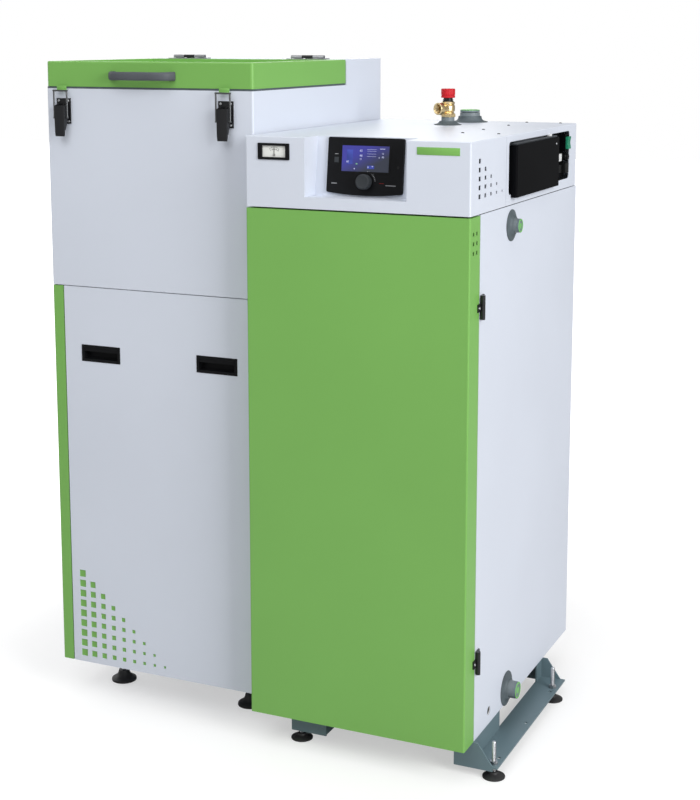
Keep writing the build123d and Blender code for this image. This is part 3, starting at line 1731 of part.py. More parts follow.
with BuildPart() as latch_keepers:
    for x in latch_centres:
        block(
            (x - keeper_half, x + keeper_half),
            (lid_front - 1.5, lid_front),
            (lid_bottom + 2, lid_bottom + 26),
        )
        block(
            (x - keeper_half, x + keeper_half),
            (lid_front - keeper_reach, lid_front),
            (lid_bottom + 2, lid_bottom + 3.5),
        )
        block(
            (x - keeper_half, x + keeper_half),
            (lid_front - keeper_reach, lid_front - keeper_reach + 1.5),
            (bail_top_z - 1, lid_bottom + 3.5),
        )
pieces["latch_keepers"] = latch_keepers

# Lid hinges: leaf and outer knuckles on the lid, leaf, middle knuckle and pin on the head
lid_hinge_centres = (hopper_left + 83.5, hopper_right - 88.5)
lid_hinge_width = 77.0
lid_knuckle = 4.0
lid_pin = 2.0
lid_leaf = 1.5
lid_leaf_reach = 26.0
lid_axis_y = lid_rear + lid_rear_gap / 2
lid_axis_z = head_top + lid_knuckle + seat_gap
third = lid_hinge_width / 3

with BuildPart() as lid_hinge_leaves:
    for x in lid_hinge_centres:
        for step in (0, 2):
            start = x - lid_hinge_width / 2 + step * third + running
            length = third - 2 * running
            rod((start, lid_axis_y, lid_axis_z), (1, 0, 0), lid_knuckle, length)
            block(
                (start, start + length),
                (lid_axis_y - lid_leaf_reach, lid_axis_y),
                (lid_top + seat_gap, lid_top + seat_gap + lid_leaf),
            )
        block(
            (x - lid_hinge_width / 2 + running, x + lid_hinge_width / 2 - running),
            (lid_axis_y - lid_leaf_reach, lid_axis_y - lid_knuckle - 1),
            (lid_top, lid_top + lid_leaf),
        )
        rod(
            (x - lid_hinge_width, lid_axis_y, lid_axis_z),
            (1, 0, 0),
            lid_pin + running,
            2 * lid_hinge_width,
            mode=Mode.SUBTRACT,
        )
pieces["lid_hinge_leaves"] = lid_hinge_leaves

with BuildPart() as lid_hinge_bases:
    for x in lid_hinge_centres:
        start = x - lid_hinge_width / 2 + third + running
        length = third - 2 * running
        rod((start, lid_axis_y, lid_axis_z), (1, 0, 0), lid_knuckle, length)
        block(
            (start, start + length),
            (lid_axis_y, lid_axis_y + lid_leaf_reach),
            (head_top, head_top + lid_leaf),
        )
        block(
            (x - lid_hinge_width / 2, x + lid_hinge_width / 2),
            (lid_axis_y + lid_knuckle + 1, lid_axis_y + lid_leaf_reach),
            (head_top, head_top + lid_leaf),
        )
        rod((x - lid_hinge_width / 2, lid_axis_y, lid_axis_z), (1, 0, 0), lid_pin, lid_hinge_width)
pieces["lid_hinge_bases"] = lid_hinge_bases

for label, builder in pieces.items():
    builder.part.label = label
    export_step(builder.part, f"parts/{label}.step")
print(len(pieces), "pieces written")
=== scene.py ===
import json
import math

import bmesh
import bpy
from mathutils import Matrix, Vector


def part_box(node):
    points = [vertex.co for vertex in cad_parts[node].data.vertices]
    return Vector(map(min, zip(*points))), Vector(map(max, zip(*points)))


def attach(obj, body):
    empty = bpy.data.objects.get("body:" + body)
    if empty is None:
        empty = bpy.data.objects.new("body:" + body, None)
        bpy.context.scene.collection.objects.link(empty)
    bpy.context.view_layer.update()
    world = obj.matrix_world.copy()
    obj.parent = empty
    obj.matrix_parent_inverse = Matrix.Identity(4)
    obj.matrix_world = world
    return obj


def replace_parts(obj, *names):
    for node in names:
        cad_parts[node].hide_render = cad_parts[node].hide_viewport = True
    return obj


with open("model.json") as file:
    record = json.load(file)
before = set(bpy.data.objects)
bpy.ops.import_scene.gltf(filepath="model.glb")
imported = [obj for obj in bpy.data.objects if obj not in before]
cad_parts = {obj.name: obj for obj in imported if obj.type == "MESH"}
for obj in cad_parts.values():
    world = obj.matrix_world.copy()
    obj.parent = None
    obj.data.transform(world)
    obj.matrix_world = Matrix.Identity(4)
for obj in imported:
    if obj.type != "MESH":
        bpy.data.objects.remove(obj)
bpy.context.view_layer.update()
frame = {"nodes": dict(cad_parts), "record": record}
NODES = frame["nodes"]

# Lengths below are in millimetres, and MM turns them into metres
MM = 0.001
RIGHT = (1, 0, 0)
UP = (0, 0, 1)
FORWARD = (0, -1, 0)

# Places that several parts share
side_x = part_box("right_side_panel")[1].x
unit_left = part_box("top_cover")[0].x
unit_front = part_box("front_hood")[0].y
cover_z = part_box("top_cover")[1].z
screen_low, screen_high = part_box("controller_screen")
knob_low, knob_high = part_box("controller_knob")
knob_centre = (knob_low + knob_high) / 2
valve_low, valve_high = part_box("safety_valve_body")
cap_low, cap_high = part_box("safety_valve_cap")
valve_axis = Vector(((cap_low.x + cap_high.x) / 2, (cap_low.y + cap_high.y) / 2, 0))

# Colours as they look under plain light, in linear values
GREEN = (0.185, 0.430, 0.095)
WHITE = (0.640, 0.680, 0.765)
BLACK = (0.0075, 0.0078, 0.0090)
DEEP_BLACK = (0.0030, 0.0032, 0.0040)
SATIN_BLACK = (0.012, 0.0125, 0.014)
INK = (0.02, 0.02, 0.02)
FOOT_BLACK = (0.020, 0.020, 0.021)
CHARCOAL = (0.042, 0.047, 0.052)
HANDLE_GREY = (0.095, 0.102, 0.115)
RUBBER = (0.078, 0.100, 0.112)
PIPE_GREY = (0.150, 0.190, 0.210)
PRIMER = (0.17, 0.20, 0.215)
BASE_BLUE = (0.125, 0.185, 0.210)
BRASS = (0.74, 0.58, 0.32)
ZINC = (0.50, 0.51, 0.53)
SPANGLE = (0.50, 0.52, 0.54)
DARK_STEEL = (0.16, 0.165, 0.17)
SOOT = (0.060, 0.060, 0.064)
CAST = (0.085, 0.085, 0.088)
RED = (0.52, 0.020, 0.028)
LINE_RED = (0.30, 0.02, 0.015)
SWITCH_GREEN = (0.020, 0.235, 0.130)
CAP_GREEN = (0.170, 0.450, 0.125)
DIAL = (0.78, 0.79, 0.76)
PALE = (0.72, 0.73, 0.74)
PRINT = (0.40, 0.41, 0.43)
SCREEN_BASE = (0.05, 0.055, 0.07)
SCREEN_GREY = (0.030, 0.034, 0.050)
SCREEN_BLUE = (0.036, 0.036, 0.215)
LIT_DIGIT = (0.62, 0.66, 0.95)
LIT_FIELD = (0.060, 0.085, 0.44)
LIT_MARK = (0.25, 0.60, 0.30)


def new_material(name, colour, roughness, metallic=0.0):
    """A material with its principled shader set up."""
    material = bpy.data.materials.new(name)
    material.use_nodes = True
    tree = material.node_tree
    shader = tree.nodes["Principled BSDF"]
    shader.inputs["Base Color"].default_value = (*colour, 1)
    shader.inputs["Metallic"].default_value = metallic
    shader.inputs["Roughness"].default_value = roughness
    return material, tree, shader


def noise(tree, scale, detail=2.0, stretch=None):
    """A noise texture in metres, stretched along an axis where asked."""
    place = tree.nodes.new("ShaderNodeTexCoord").outputs["Object"]
    texture = tree.nodes.new("ShaderNodeTexNoise")
    texture.inputs["Scale"].default_value = scale
    texture.inputs["Detail"].default_value = detail
    if stretch:
        mapping = tree.nodes.new("ShaderNodeMapping")
        mapping.inputs["Scale"].default_value = stretch
        tree.links.new(place, mapping.inputs["Vector"])
        place = mapping.outputs["Vector"]
    tree.links.new(place, texture.inputs["Vector"])
    return texture


def shade(colour, factor):
    """A colour made lighter or darker."""
    return tuple(min(1.0, channel * factor) for channel in colour)


def two_colours(tree, source, low_colour, high_colour, low=0.0, high=1.0):
    """A ramp between two colours, driven by a socket."""
    ramp = tree.nodes.new("ShaderNodeValToRGB")
    first, last = ramp.color_ramp.elements
    first.position = low
    last.position = high
    first.color = (*low_colour, 1)
    last.color = (*high_colour, 1)
    tree.links.new(source, ramp.inputs["Fac"])
    return ramp.outputs["Color"]


def tint(tree, shader, texture, colour, spread):
    """The base colour wanders between two shades of itself."""
    dark = shade(colour, 1 - spread)
    light = shade(colour, 1 + spread)
    blend = two_colours(tree, texture.outputs["Fac"], dark, light, 0.35, 0.65)
    tree.links.new(blend, shader.inputs["Base Color"])
    return blend


def rough_range(tree, shader, source, low, high):
    """The roughness wanders between two values."""
    spread = tree.nodes.new("ShaderNodeMapRange")
    spread.inputs["To Min"].default_value = low
    spread.inputs["To Max"].default_value = high
    tree.links.new(source, spread.inputs["Value"])
    tree.links.new(spread.outputs["Result"], shader.inputs["Roughness"])


def bump(tree, shader, texture, strength, distance=0.0002):
    """Fine relief from a texture."""
    relief = tree.nodes.new("ShaderNodeBump")
    relief.inputs["Strength"].default_value = strength
    relief.inputs["Distance"].default_value = distance
    tree.links.new(texture.outputs["Fac"], relief.inputs["Height"])
    tree.links.new(relief.outputs["Normal"], shader.inputs["Normal"])


def powder_coat(name, colour, roughness=0.38):
    """Sprayed powder paint: orange-peel relief, faint cloudiness, soft gloss."""
    material, tree, shader = new_material(name, colour, roughness)
    tint(tree, shader, noise(tree, 2.5, 3.0), colour, 0.018)
    peel = noise(tree, 620.0, 2.0)
    rough_range(tree, shader, peel.outputs["Fac"], roughness - 0.06, roughness + 0.06)
    bump(tree, shader, peel, 0.10, 0.00025)
    shader.inputs["Specular IOR Level"].default_value = 0.45
    return material


def moulded(name, colour, roughness=0.45, grain=900.0, relief=0.16, gloss=0.12):
    """Moulded plastic with a fine eroded grain."""
    material, tree, shader = new_material(name, colour, roughness)
    texture = noise(tree, grain, 4.0)
    tint(tree, shader, noise(tree, 14.0, 2.0), colour, 0.10)
    rough_range(tree, shader, texture.outputs["Fac"], roughness - 0.07, roughness + 0.09)
    bump(tree, shader, texture, relief)
    shader.inputs["Specular IOR Level"].default_value = gloss
    return material


def metal(name, colour, stretch, scale, relief, roughness=0.30):
    """Metal with drawn or turned lines."""
    material, tree, shader = new_material(name, colour, roughness, 1.0)
    lines = noise(tree, scale, 6.0, stretch)
    tint(tree, shader, lines, colour, 0.09)
    rough_range(tree, shader, lines.outputs["Fac"], roughness - 0.08, roughness + 0.12)
    bump(tree, shader, lines, relief)
    return material


def galvanised(name, colour):
    """Hot-dip zinc with spangle."""
    material, tree, shader = new_material(name, colour, 0.42, 1.0)
    place = tree.nodes.new("ShaderNodeTexCoord")
    cells = tree.nodes.new("ShaderNodeTexVoronoi")
    cells.inputs["Scale"].default_value = 110.0
    tree.links.new(place.outputs["Object"], cells.inputs["Vector"])
    blend = two_colours(tree, cells.outputs["Color"], shade(colour, 0.80), shade(colour, 1.18))
    tree.links.new(blend, shader.inputs["Base Color"])
    rough_range(tree, shader, cells.outputs["Color"], 0.34, 0.55)
    return material


def rubber(name, colour, roughness=0.62):
    """Matt rubber with a dusty bloom."""
    material, tree, shader = new_material(name, colour, roughness)
    tint(tree, shader, noise(tree, 45.0, 5.0), colour, 0.16)
    bump(tree, shader, noise(tree, 1800.0, 3.0), 0.20)
    return material


def rough_iron(name, colour, roughness=0.72):
    """Cast or sooty steel."""
    material, tree, shader = new_material(name, colour, roughness, 0.35)
    tint(tree, shader, noise(tree, 60.0, 6.0), colour, 0.30)
    bump(tree, shader, noise(tree, 420.0, 6.0), 0.35, 0.0006)
    return material


def glowing(name, colour, strength, spread):
    """A lit surface whose glow is slightly uneven."""
    material, tree, shader = new_material(name, shade(colour, 0.4), 0.25)
    blend = tint(tree, shader, noise(tree, 40.0, 2.0), shade(colour, 0.5), spread)
    tree.links.new(blend, shader.inputs["Emission Color"])
    shader.inputs["Emission Strength"].default_value = strength
    return material


def along_axis(tree, source, start, end):
    """Runs from 0 to 1 between two places on an axis."""
    run = tree.nodes.new("ShaderNodeMapRange")
    run.inputs["From Min"].default_value = start
    run.inputs["From Max"].default_value = end
    tree.links.new(source, run.inputs["Value"])
    return run.outputs["Result"]


def arithmetic(tree, operation, first, second):
    """A sum or product of a socket and another socket or number."""
    step = tree.nodes.new("ShaderNodeMath")
    step.operation = operation
    tree.links.new(first, step.inputs[0])
    if isinstance(second, float):
        step.inputs[1].default_value = second
    else:
        tree.links.new(second, step.inputs[1])
    return step.outputs["Value"]


def lit_display(name):
    """A dark display that glows blue towards its upper left."""
    material, tree, shader = new_material(name, SCREEN_BASE, 0.16)
    place = tree.nodes.new("ShaderNodeTexCoord")
    split = tree.nodes.new("ShaderNodeSeparateXYZ")
    tree.links.new(place.outputs["Object"], split.inputs["Vector"])
    across = along_axis(tree, split.outputs["X"], screen_high.x, screen_low.x)
    up = along_axis(tree, split.outputs["Z"], screen_low.z, screen_high.z)
    half = arithmetic(tree, "MULTIPLY", arithmetic(tree, "ADD", across, up), 0.5)
    blend = two_colours(tree, half, SCREEN_GREY, SCREEN_BLUE, 0.30, 0.66)
    tree.links.new(blend, shader.inputs["Base Color"])
    tree.links.new(blend, shader.inputs["Emission Color"])
    shader.inputs["Emission Strength"].default_value = 0.55
    return material


MATERIALS = {
    "green": powder_coat("green_powder_coat", GREEN),
    "white": powder_coat("pale_powder_coat", WHITE, 0.42),
    "black": moulded("black_moulding", BLACK, 0.36, 1400.0),
    "black_metal": powder_coat("black_lacquer", SATIN_BLACK, 0.34),
    "charcoal": moulded("charcoal_moulding", CHARCOAL, 0.42, 1400.0),
    "rubber": rubber("grey_rubber", RUBBER),
    "foot": rubber("foot_rubber", FOOT_BLACK, 0.5),
    "base": powder_coat("blue_grey_paint", BASE_BLUE, 0.36),
    "brass": metal("brass_casting", BRASS, (1, 1, 1), 240.0, 0.25),
    "zinc": metal("zinc_plate", ZINC, (1, 1, 8), 120.0, 0.12),
    "galvanised": galvanised("galvanised_sheet", SPANGLE),
    "iron": rough_iron("sooty_steel", SOOT),
    "cast": rough_iron("cast_iron", CAST, 0.66),
    "red": moulded("red_moulding", RED, 0.34, relief=0.06),
    "switch": moulded("green_rocker", SWITCH_GREEN, 0.25, relief=0.05),
    "cap_green": moulded("green_cap", CAP_GREEN, 0.40, relief=0.10),
    "dial": moulded("dial_face", DIAL, 0.45, relief=0.03),
    "needle": moulded("needle_red", LINE_RED, 0.40, relief=0.03),
    "deep_black": moulded("deep_black", DEEP_BLACK, 0.42, relief=0.04, gloss=0.03),
    "pipe_grey": powder_coat("pipe_grey", PIPE_GREY, 0.45),
    "handle_grey": moulded("handle_grey", HANDLE_GREY, 0.36, relief=0.12),
    "pointer": moulded("pointer_black", INK, 0.40, relief=0.03),
    "dark_steel": metal("blackened_steel", DARK_STEEL, (1, 1, 8), 120.0, 0.10),
    "pale_plastic": moulded("pale_moulding", PALE, 0.40, relief=0.05),
    "ink": moulded("dark_ink", INK, 0.6, relief=0.02),
    "print": moulded("pale_ink", PRINT, 0.6, relief=0.02),
    "screen": lit_display("blue_display"),
    "glow": glowing("display_digits", LIT_DIGIT, 1.0, 0.08),
    "glow_blue": glowing("display_field", LIT_FIELD, 0.7, 0.25),
    "glow_green": glowing("display_mark", LIT_MARK, 0.8, 0.10),
    "base_pipe": powder_coat("primed_pipe", PRIMER, 0.45),
}

NODE_LOOKS = {
    "green": ["boiler_door", "hopper_lid", "corner_trim", "vent_backing", "name_plate", "latch_keepers"],
    "white": ["front_hood", "top_cover", "controller_pocket", "right_side_panel", "left_side_panel",
              "rear_panel", "hopper_shell", "hopper_lower_casing", "hopper_front_panel"],
    "deep_black": ["control_module"],
    "black": ["controller_panel", "controller_knob", "gauge_bezel", "flush_handles"],
    "black_metal": ["door_hinge_leaves", "door_hinge_knuckles", "latch_lever_left", "latch_lever_right",
                    "latch_bases", "lid_hinge_bases", "safety_valve_bonnet"],
    "charcoal": ["lid_handle", "module_connectors"],
    "rubber": ["port_rosettes", "lid_gasket"],
    "foot": ["levelling_feet"],
    "base": ["base_rails", "base_cross_members"],
    "brass": ["safety_valve_body"],
    "zinc": ["casing_screws", "levelling_studs", "levelling_nuts", "lid_hinge_leaves", "encoder_shaft",
             "fan_wheel", "auger_screw"],
    "galvanised": ["hopper_funnel", "auger_tube", "fan_housing", "ash_pan"],
    "iron": ["boiler_body", "furnace_door", "furnace_door_handle"],
    "base_pipe": ["pipe_stubs"],
    "cast": ["burner_body", "gearmotor"],
    "red": ["safety_valve_cap"],
    "switch": ["main_switch_rocker"],
    "cap_green": ["port_plugs"],
    "dial": ["gauge_dial"],
    "pointer": ["gauge_pointer"],
    "dark_steel": ["latch_bail_left", "latch_bail_right"],
    "screen": ["controller_screen"],
}
for look, names in NODE_LOOKS.items():
    for node_name in names:
        for material_slot in NODES[node_name].material_slots:
            material_slot.material = MATERIALS[look]


def link_piece(name, mesh, look, body):
    """Puts a mesh into the scene as a piece with its material, riding on a body."""
    mesh.materials.append(MATERIALS[look])
    piece = bpy.data.objects.new(name, mesh)
    bpy.context.scene.collection.objects.link(piece)
    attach(piece, body)
    return piece


def finish_mesh(name, mesh_data, look, body, smooth=True, angle=35.0):
    """A new piece from a filled bmesh."""
    mesh = bpy.data.meshes.new(name)
    bmesh.ops.recalc_face_normals(mesh_data, faces=mesh_data.faces)
    mesh_data.to_mesh(mesh)
    mesh_data.free()
    if smooth:
        mesh.shade_smooth()
        mesh.set_sharp_from_angle(angle=math.radians(angle))
    return link_piece(name, mesh, look, body)


def axis_frame(origin, direction, across=None):
    """A placement whose local Z runs along a direction."""
    z_axis = Vector(direction).normalized()
    if across is None:
        across = UP if abs(z_axis.z) < 0.9 else RIGHT
    guess = Vector(across)
    x_axis = (guess - z_axis * guess.dot(z_axis)).normalized()
    turned = Matrix((x_axis, z_axis.cross(x_axis), z_axis)).transposed().to_4x4()
    return Matrix.Translation(Vector(origin)) @ turned


def join_rings(mesh_data, rings):
    """Closes a row of equal rings into a solid with flat ends."""
    count = len(rings[0])
    for lower, upper in zip(rings, rings[1:]):
        for step in range(count):
            after = (step + 1) % count
            mesh_data.faces.new((lower[step], lower[after], upper[after], upper[step]))
    mesh_data.faces.new(list(reversed(rings[0])))
    mesh_data.faces.new(rings[-1])


def add_turned(mesh_data, profile, place, steps, flute=0.0, flutes=0):
    """Turns a profile of (radius, height) round a placement's Z axis, with flutes where asked."""
    rings = []
    for radius, height in profile:
        ring = []
        for step in range(steps):
            angle = 2 * math.pi * step / steps
            reach = radius
            if flutes and radius > flute * 3:
                reach = radius - flute * (0.5 - 0.5 * math.cos(flutes * angle))
            spot = (reach * MM * math.cos(angle), reach * MM * math.sin(angle), height * MM)
            ring.append(mesh_data.verts.new(place @ Vector(spot)))
        rings.append(ring)
    join_rings(mesh_data, rings)


def add_box(mesh_data, low, high, place=None, bevel=0.0, segments=2):
    """A box between two corners in metres, with edges softened by some millimetres."""
    low, high = Vector(low), Vector(high)
    made = bmesh.ops.create_cube(mesh_data, size=1.0)
    for vert in made["verts"]:
        vert.co = Vector((high[i] if vert.co[i] > 0 else low[i]) for i in range(3))
    verts = list(made["verts"])
    if bevel:
        edges = {edge for vert in verts for edge in vert.link_edges}
        result = bmesh.ops.bevel(
            mesh_data, geom=list(edges), offset=bevel * MM, segments=segments, affect="EDGES", profile=0.5
        )
        kept = {vert for vert in verts if vert.is_valid}
        verts = list({vert for face in result["faces"] for vert in face.verts} | kept)
    if place is not None:
        bmesh.ops.transform(mesh_data, matrix=place, verts=verts)


def frame_bars(outer_across, outer_up, inner_across, inner_up):
    """The four bars of a rectangular frame: low and high across, low and high up."""
    return (
        (-outer_across, -inner_across, -outer_up, outer_up),
        (inner_across, outer_across, -outer_up, outer_up),
        (-inner_across, inner_across, -outer_up, -inner_up),
        (-inner_across, inner_across, inner_up, outer_up),
    )


def screws(name, places, radius, height, look, body):
    """Several equal domed heads with a recess, in one piece."""
    mesh_data = bmesh.new()
    dome = [(0.98, 0.0), (1.0, 0.15), (0.92, 0.55), (0.70, 0.85), (0.42, 0.98), (0.36, 0.60), (0.06, 0.30)]
    for place in places:
        add_turned(mesh_data, [(radius * out, height * up) for out, up in dome], place, 24)
    return finish_mesh(name, mesh_data, look, body, angle=50)


def text_piece(name, words, size, place, look, body, depth=0.1):
    """A plain number printed on a surface."""
    curve = bpy.data.curves.new(name, "FONT")
    curve.body = words
    curve.size = size * MM
    curve.align_x = "CENTER"
    curve.align_y = "CENTER"
    curve.extrude = depth * MM
    drawn = bpy.data.objects.new(name, curve)
    bpy.context.scene.collection.objects.link(drawn)
    evaluated = drawn.evaluated_get(bpy.context.evaluated_depsgraph_get())
    mesh = bpy.data.meshes.new_from_object(evaluated)
    bpy.data.objects.remove(drawn)
    mesh.transform(place)
    mesh.materials.clear()
    return link_piece(name, mesh, look, body)


# Door hinges
LEAF_LENGTH = 44.0
LEAF_STAND = 2.8
LEAF_END_MARGIN = 7.3
LEAF_EDGE_MARGIN = 5.5


def door_hinge_screws():
    """Screw heads on the hinges' fixed leaves and on the door's knuckles."""
    leaves_low, leaves_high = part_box("door_hinge_leaves")
    face_x = side_x + LEAF_STAND * MM
    fixed_y = leaves_high.y - LEAF_EDGE_MARGIN * MM
    door_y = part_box("door_hinge_knuckles")[0].y + LEAF_EDGE_MARGIN * MM
    fixed = []
    moving = []
    for low_z in (leaves_low.z, leaves_high.z - LEAF_LENGTH * MM):
        high_z = low_z + LEAF_LENGTH * MM
        for z in (low_z + LEAF_END_MARGIN * MM, high_z - LEAF_END_MARGIN * MM):
            fixed.append(axis_frame((face_x, fixed_y, z), RIGHT))
        moving.append(axis_frame((face_x, door_y, (low_z + high_z) / 2), RIGHT))
    screws("door_hinge_screws_fixed", fixed, 2.9, 1.4, "zinc", "casing")
    screws("door_hinge_screws_door", moving, 2.9, 1.4, "zinc", "door")


# Controller: everything is placed on the tilted panel's own plane
PANEL_LEAN = 13.5
PANEL_RISE = 108.0
FACE_STAND = 0.4
GLASS_OUT = 1.2
GLASS_IN = 2.6
tilt = math.atan2(PANEL_LEAN, PANEL_RISE)
panel_out = Vector((0, -math.cos(tilt), math.sin(tilt)))
panel_up = Vector((0, math.sin(tilt), math.cos(tilt)))
screen_centre = (screen_low + screen_high) / 2


def panel_frame(across, up, out=0.0):
    """A placement on the controller's face, counted from the middle of the display."""
    spot = screen_centre + (Vector(RIGHT) * across + panel_up * up + panel_out * (out + FACE_STAND)) * MM
    turned = Matrix((Vector(RIGHT), panel_up, panel_out)).transposed().to_4x4()
    return Matrix.Translation(spot) @ turned


def flat_marks(name, marks, look, thickness=0.15):
    """Thin printed or lit rectangles: (across, up, width, height, out) from the display's middle."""
    mesh_data = bmesh.new()
    for across, up, width, height, out in marks:
        half = Vector((width, height, thickness)) * MM / 2
        add_box(mesh_data, -half, half, panel_frame(across, up, out))
    return finish_mesh(name, mesh_data, look, "casing", smooth=False)


def display_content():
    """Lit fields, lines and plain numbers on the display."""
    flat_marks("display_fields", [(-31, 3, 12, 26, 0.02), (11, -15, 14, 6.0, 0.02)], "glow_blue")
    lines = [(12, up, width, 0.35, 0.12) for up, width in ((17, 18), (14, 18), (9, 17), (4.5, 18))]
    lines += [(33, 18.5, 10, 0.8, 0.12), (-21, -18.5, 1.8, 1.8, 0.12), (27, 2.5, 1.6, 1.6, 0.12)]
    lines += [(14.5, -13.5, 1.8, 1.8, 0.14), (6, -15, 1.0, 3.4, 0.14)]
    flat_marks("display_lines", lines, "glow")
    flat_marks("display_marks", [(-17, -9.5, 3.0, 2.0, 0.12)], "glow_green")
    numbers = [("65", -9, 14.5, 5.4), ("48", -9, 5.5, 5.4), ("21", -9, -1.0, 4.4)]
    numbers += [("60", -35, -6.0, 5.0), ("12", 34, 10.0, 4.4), ("30", 34, 3.5, 4.4)]
    for index, (number, across, up, size) in enumerate(numbers):
        place = panel_frame(across, up, 0.15)
        text_piece(f"display_number_{index}", number, size, place, "glow", "casing")


def display_surround():
    """The black edge round the lit display."""
    half_across = (screen_high.x - screen_low.x) / 2
    half_up = (screen_high.z - screen_low.z) / math.cos(tilt) / 2
    inside = GLASS_IN * MM
    outside = GLASS_OUT * MM
    bars = frame_bars(half_across + outside, half_up + outside, half_across - inside, half_up - inside)
    surround = bmesh.new()
    for low_x, high_x, low_y, high_y in bars:
        low = (low_x, low_y, -0.4 * MM)
        high = (high_x, high_y, 0.35 * MM)
        add_box(surround, low, high, panel_frame(0, 0, 0.1), 0.2, 1)
    finish_mesh("display_frame", surround, "black", "casing")


def panel_details():
    """Side cover, printed marks and light sensor on the controller's face."""
    flat_marks("panel_side_cover", [(-57, -3.0, 8.5, 10, 0.25)], "charcoal", 0.6)
    prints = [(-57.5, 7.5, 7, 0.8, 0.12), (-60, -46, 11, 1.0, 0.12), (52, -47, 20, 1.0, 0.12)]
    flat_marks("panel_prints", prints, "print")
    flat_marks("panel_print_line", [(34, -43.5, 9, 0.6, 0.12)], "needle")
    sensor = bmesh.new()
    add_turned(sensor, [(2.6, -0.3), (2.6, 0.3), (2.0, 0.5), (1.2, 0.1)], panel_frame(65, -14), 24)
    finish_mesh("panel_sensor", sensor, "ink", "casing")


# Knob
KNOB_HALF_DEPTH = 6.9
KNOB_FLUTES = 36
KNOB_FLUTE_DEPTH = 0.45
KNOB_TICKS = 9


def turning_knob():
    """A fluted grip with a dished face."""
    profile = [(12.8, -13.8), (14.2, -13.2), (14.3, -11.5), (13.9, -10.8), (13.9, -2.6), (13.5, -1.2)]
    profile += [(12.6, -0.3), (11.6, 0.0), (10.9, -0.2), (7.2, -0.7), (1.0, -0.8)]
    place = axis_frame(knob_centre + panel_out * KNOB_HALF_DEPTH * MM, panel_out, RIGHT)
    knob = bmesh.new()
    add_turned(knob, profile, place, 144, KNOB_FLUTE_DEPTH, KNOB_FLUTES)
    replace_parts(finish_mesh("turning_knob", knob, "charcoal", "knob", angle=40), "controller_knob")


def knob_scale():
    """Short marks on the panel round the knob's upper right."""
    foot = knob_centre - panel_out * (KNOB_HALF_DEPTH + 1.6) * MM
    ticks = bmesh.new()
    for tick in range(KNOB_TICKS):
        turn = math.radians(8 + tick * 9)
        place = axis_frame(foot, panel_out, (math.cos(turn), 0, math.sin(turn)))
        low = Vector((18.2, -0.35, -0.1)) * MM
        high = Vector((20.4, 0.35, 0.15)) * MM
        add_box(ticks, low, high, place)
    finish_mesh("knob_scale_marks", ticks, "print", "casing", smooth=False)


# Gauge
GAUGE_START = -42.0
GAUGE_STEP = 4.2
GAUGE_MARKS = 21
GAUGE_REACH = 15.0
GAUGE_NUMBER_REACH = 10.4


def gauge_scale():
    """Scale marks and plain numbers on the dial, round the needle's pivot."""
    dial_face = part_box("gauge_dial")[1].y
    needle_low, needle_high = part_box("gauge_pointer")
    pivot = Vector(((needle_low.x + needle_high.x) / 2, dial_face - 1.0 * MM, needle_low.z + 2 * MM))
    marks = bmesh.new()
    for mark in range(GAUGE_MARKS):
        turn = math.radians(GAUGE_START + mark * GAUGE_STEP)
        inner, half_width = (12.6, 0.26) if mark % 5 == 0 else (13.6, 0.14)
        origin = pivot - Vector((0, 0.08 * MM, 0))
        place = axis_frame(origin, FORWARD, (math.sin(turn), 0, math.cos(turn)))
        low = Vector((inner, -half_width, -0.03)) * MM
        high = Vector((GAUGE_REACH, half_width, 0.06)) * MM
        add_box(marks, low, high, place)
    finish_mesh("gauge_scale_marks", marks, "ink", "casing", smooth=False)
    for mark in range(0, GAUGE_MARKS, 5):
        number = str(mark * 6)
        turn = math.radians(GAUGE_START + mark * GAUGE_STEP)
        away = Vector((math.sin(turn), 0, math.cos(turn))) * GAUGE_NUMBER_REACH * MM
        spot = pivot + away - Vector((0, 0.1 * MM, 0))
        place = Matrix.Translation(spot) @ Matrix.Rotation(math.radians(90), 4, "X")
        text_piece(f"gauge_number_{number}", number, 3.0, place, "ink", "casing", 0.05)


def gauge_rim():
    """The raised rim round the gauge's window."""
    bezel_low, bezel_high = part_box("gauge_bezel")
    middle = (bezel_low + bezel_high) / 2
    bars = ((-25.0, 0, 1.0, 12.0), (25.0, 0, 1.0, 12.0), (0, -11.5, 25.5, 1.0), (0, 11.5, 25.5, 1.0))
    rim = bmesh.new()
    for across, up, wide, tall in bars:
        x = middle.x + across * MM
        z = middle.z + up * MM
        low = (x - wide * MM, bezel_low.y + 0.02 * MM, z - tall * MM)
        high = (x + wide * MM, bezel_low.y + 1.0 * MM, z + tall * MM)
        add_box(rim, low, high, None, 0.4)
    finish_mesh("gauge_window_rim", rim, "charcoal", "casing")


# Safety valve
OUTLET_TURN = 25.0
OUTLET_HEIGHT = 17.5
OUTLET_THREADS = 7
CAP_FLUTES = 24
CAP_FLUTE_DEPTH = 0.5


def above_valve(height):
    """An upright placement on the valve's axis."""
    return axis_frame((valve_axis.x, valve_axis.y, height), UP)


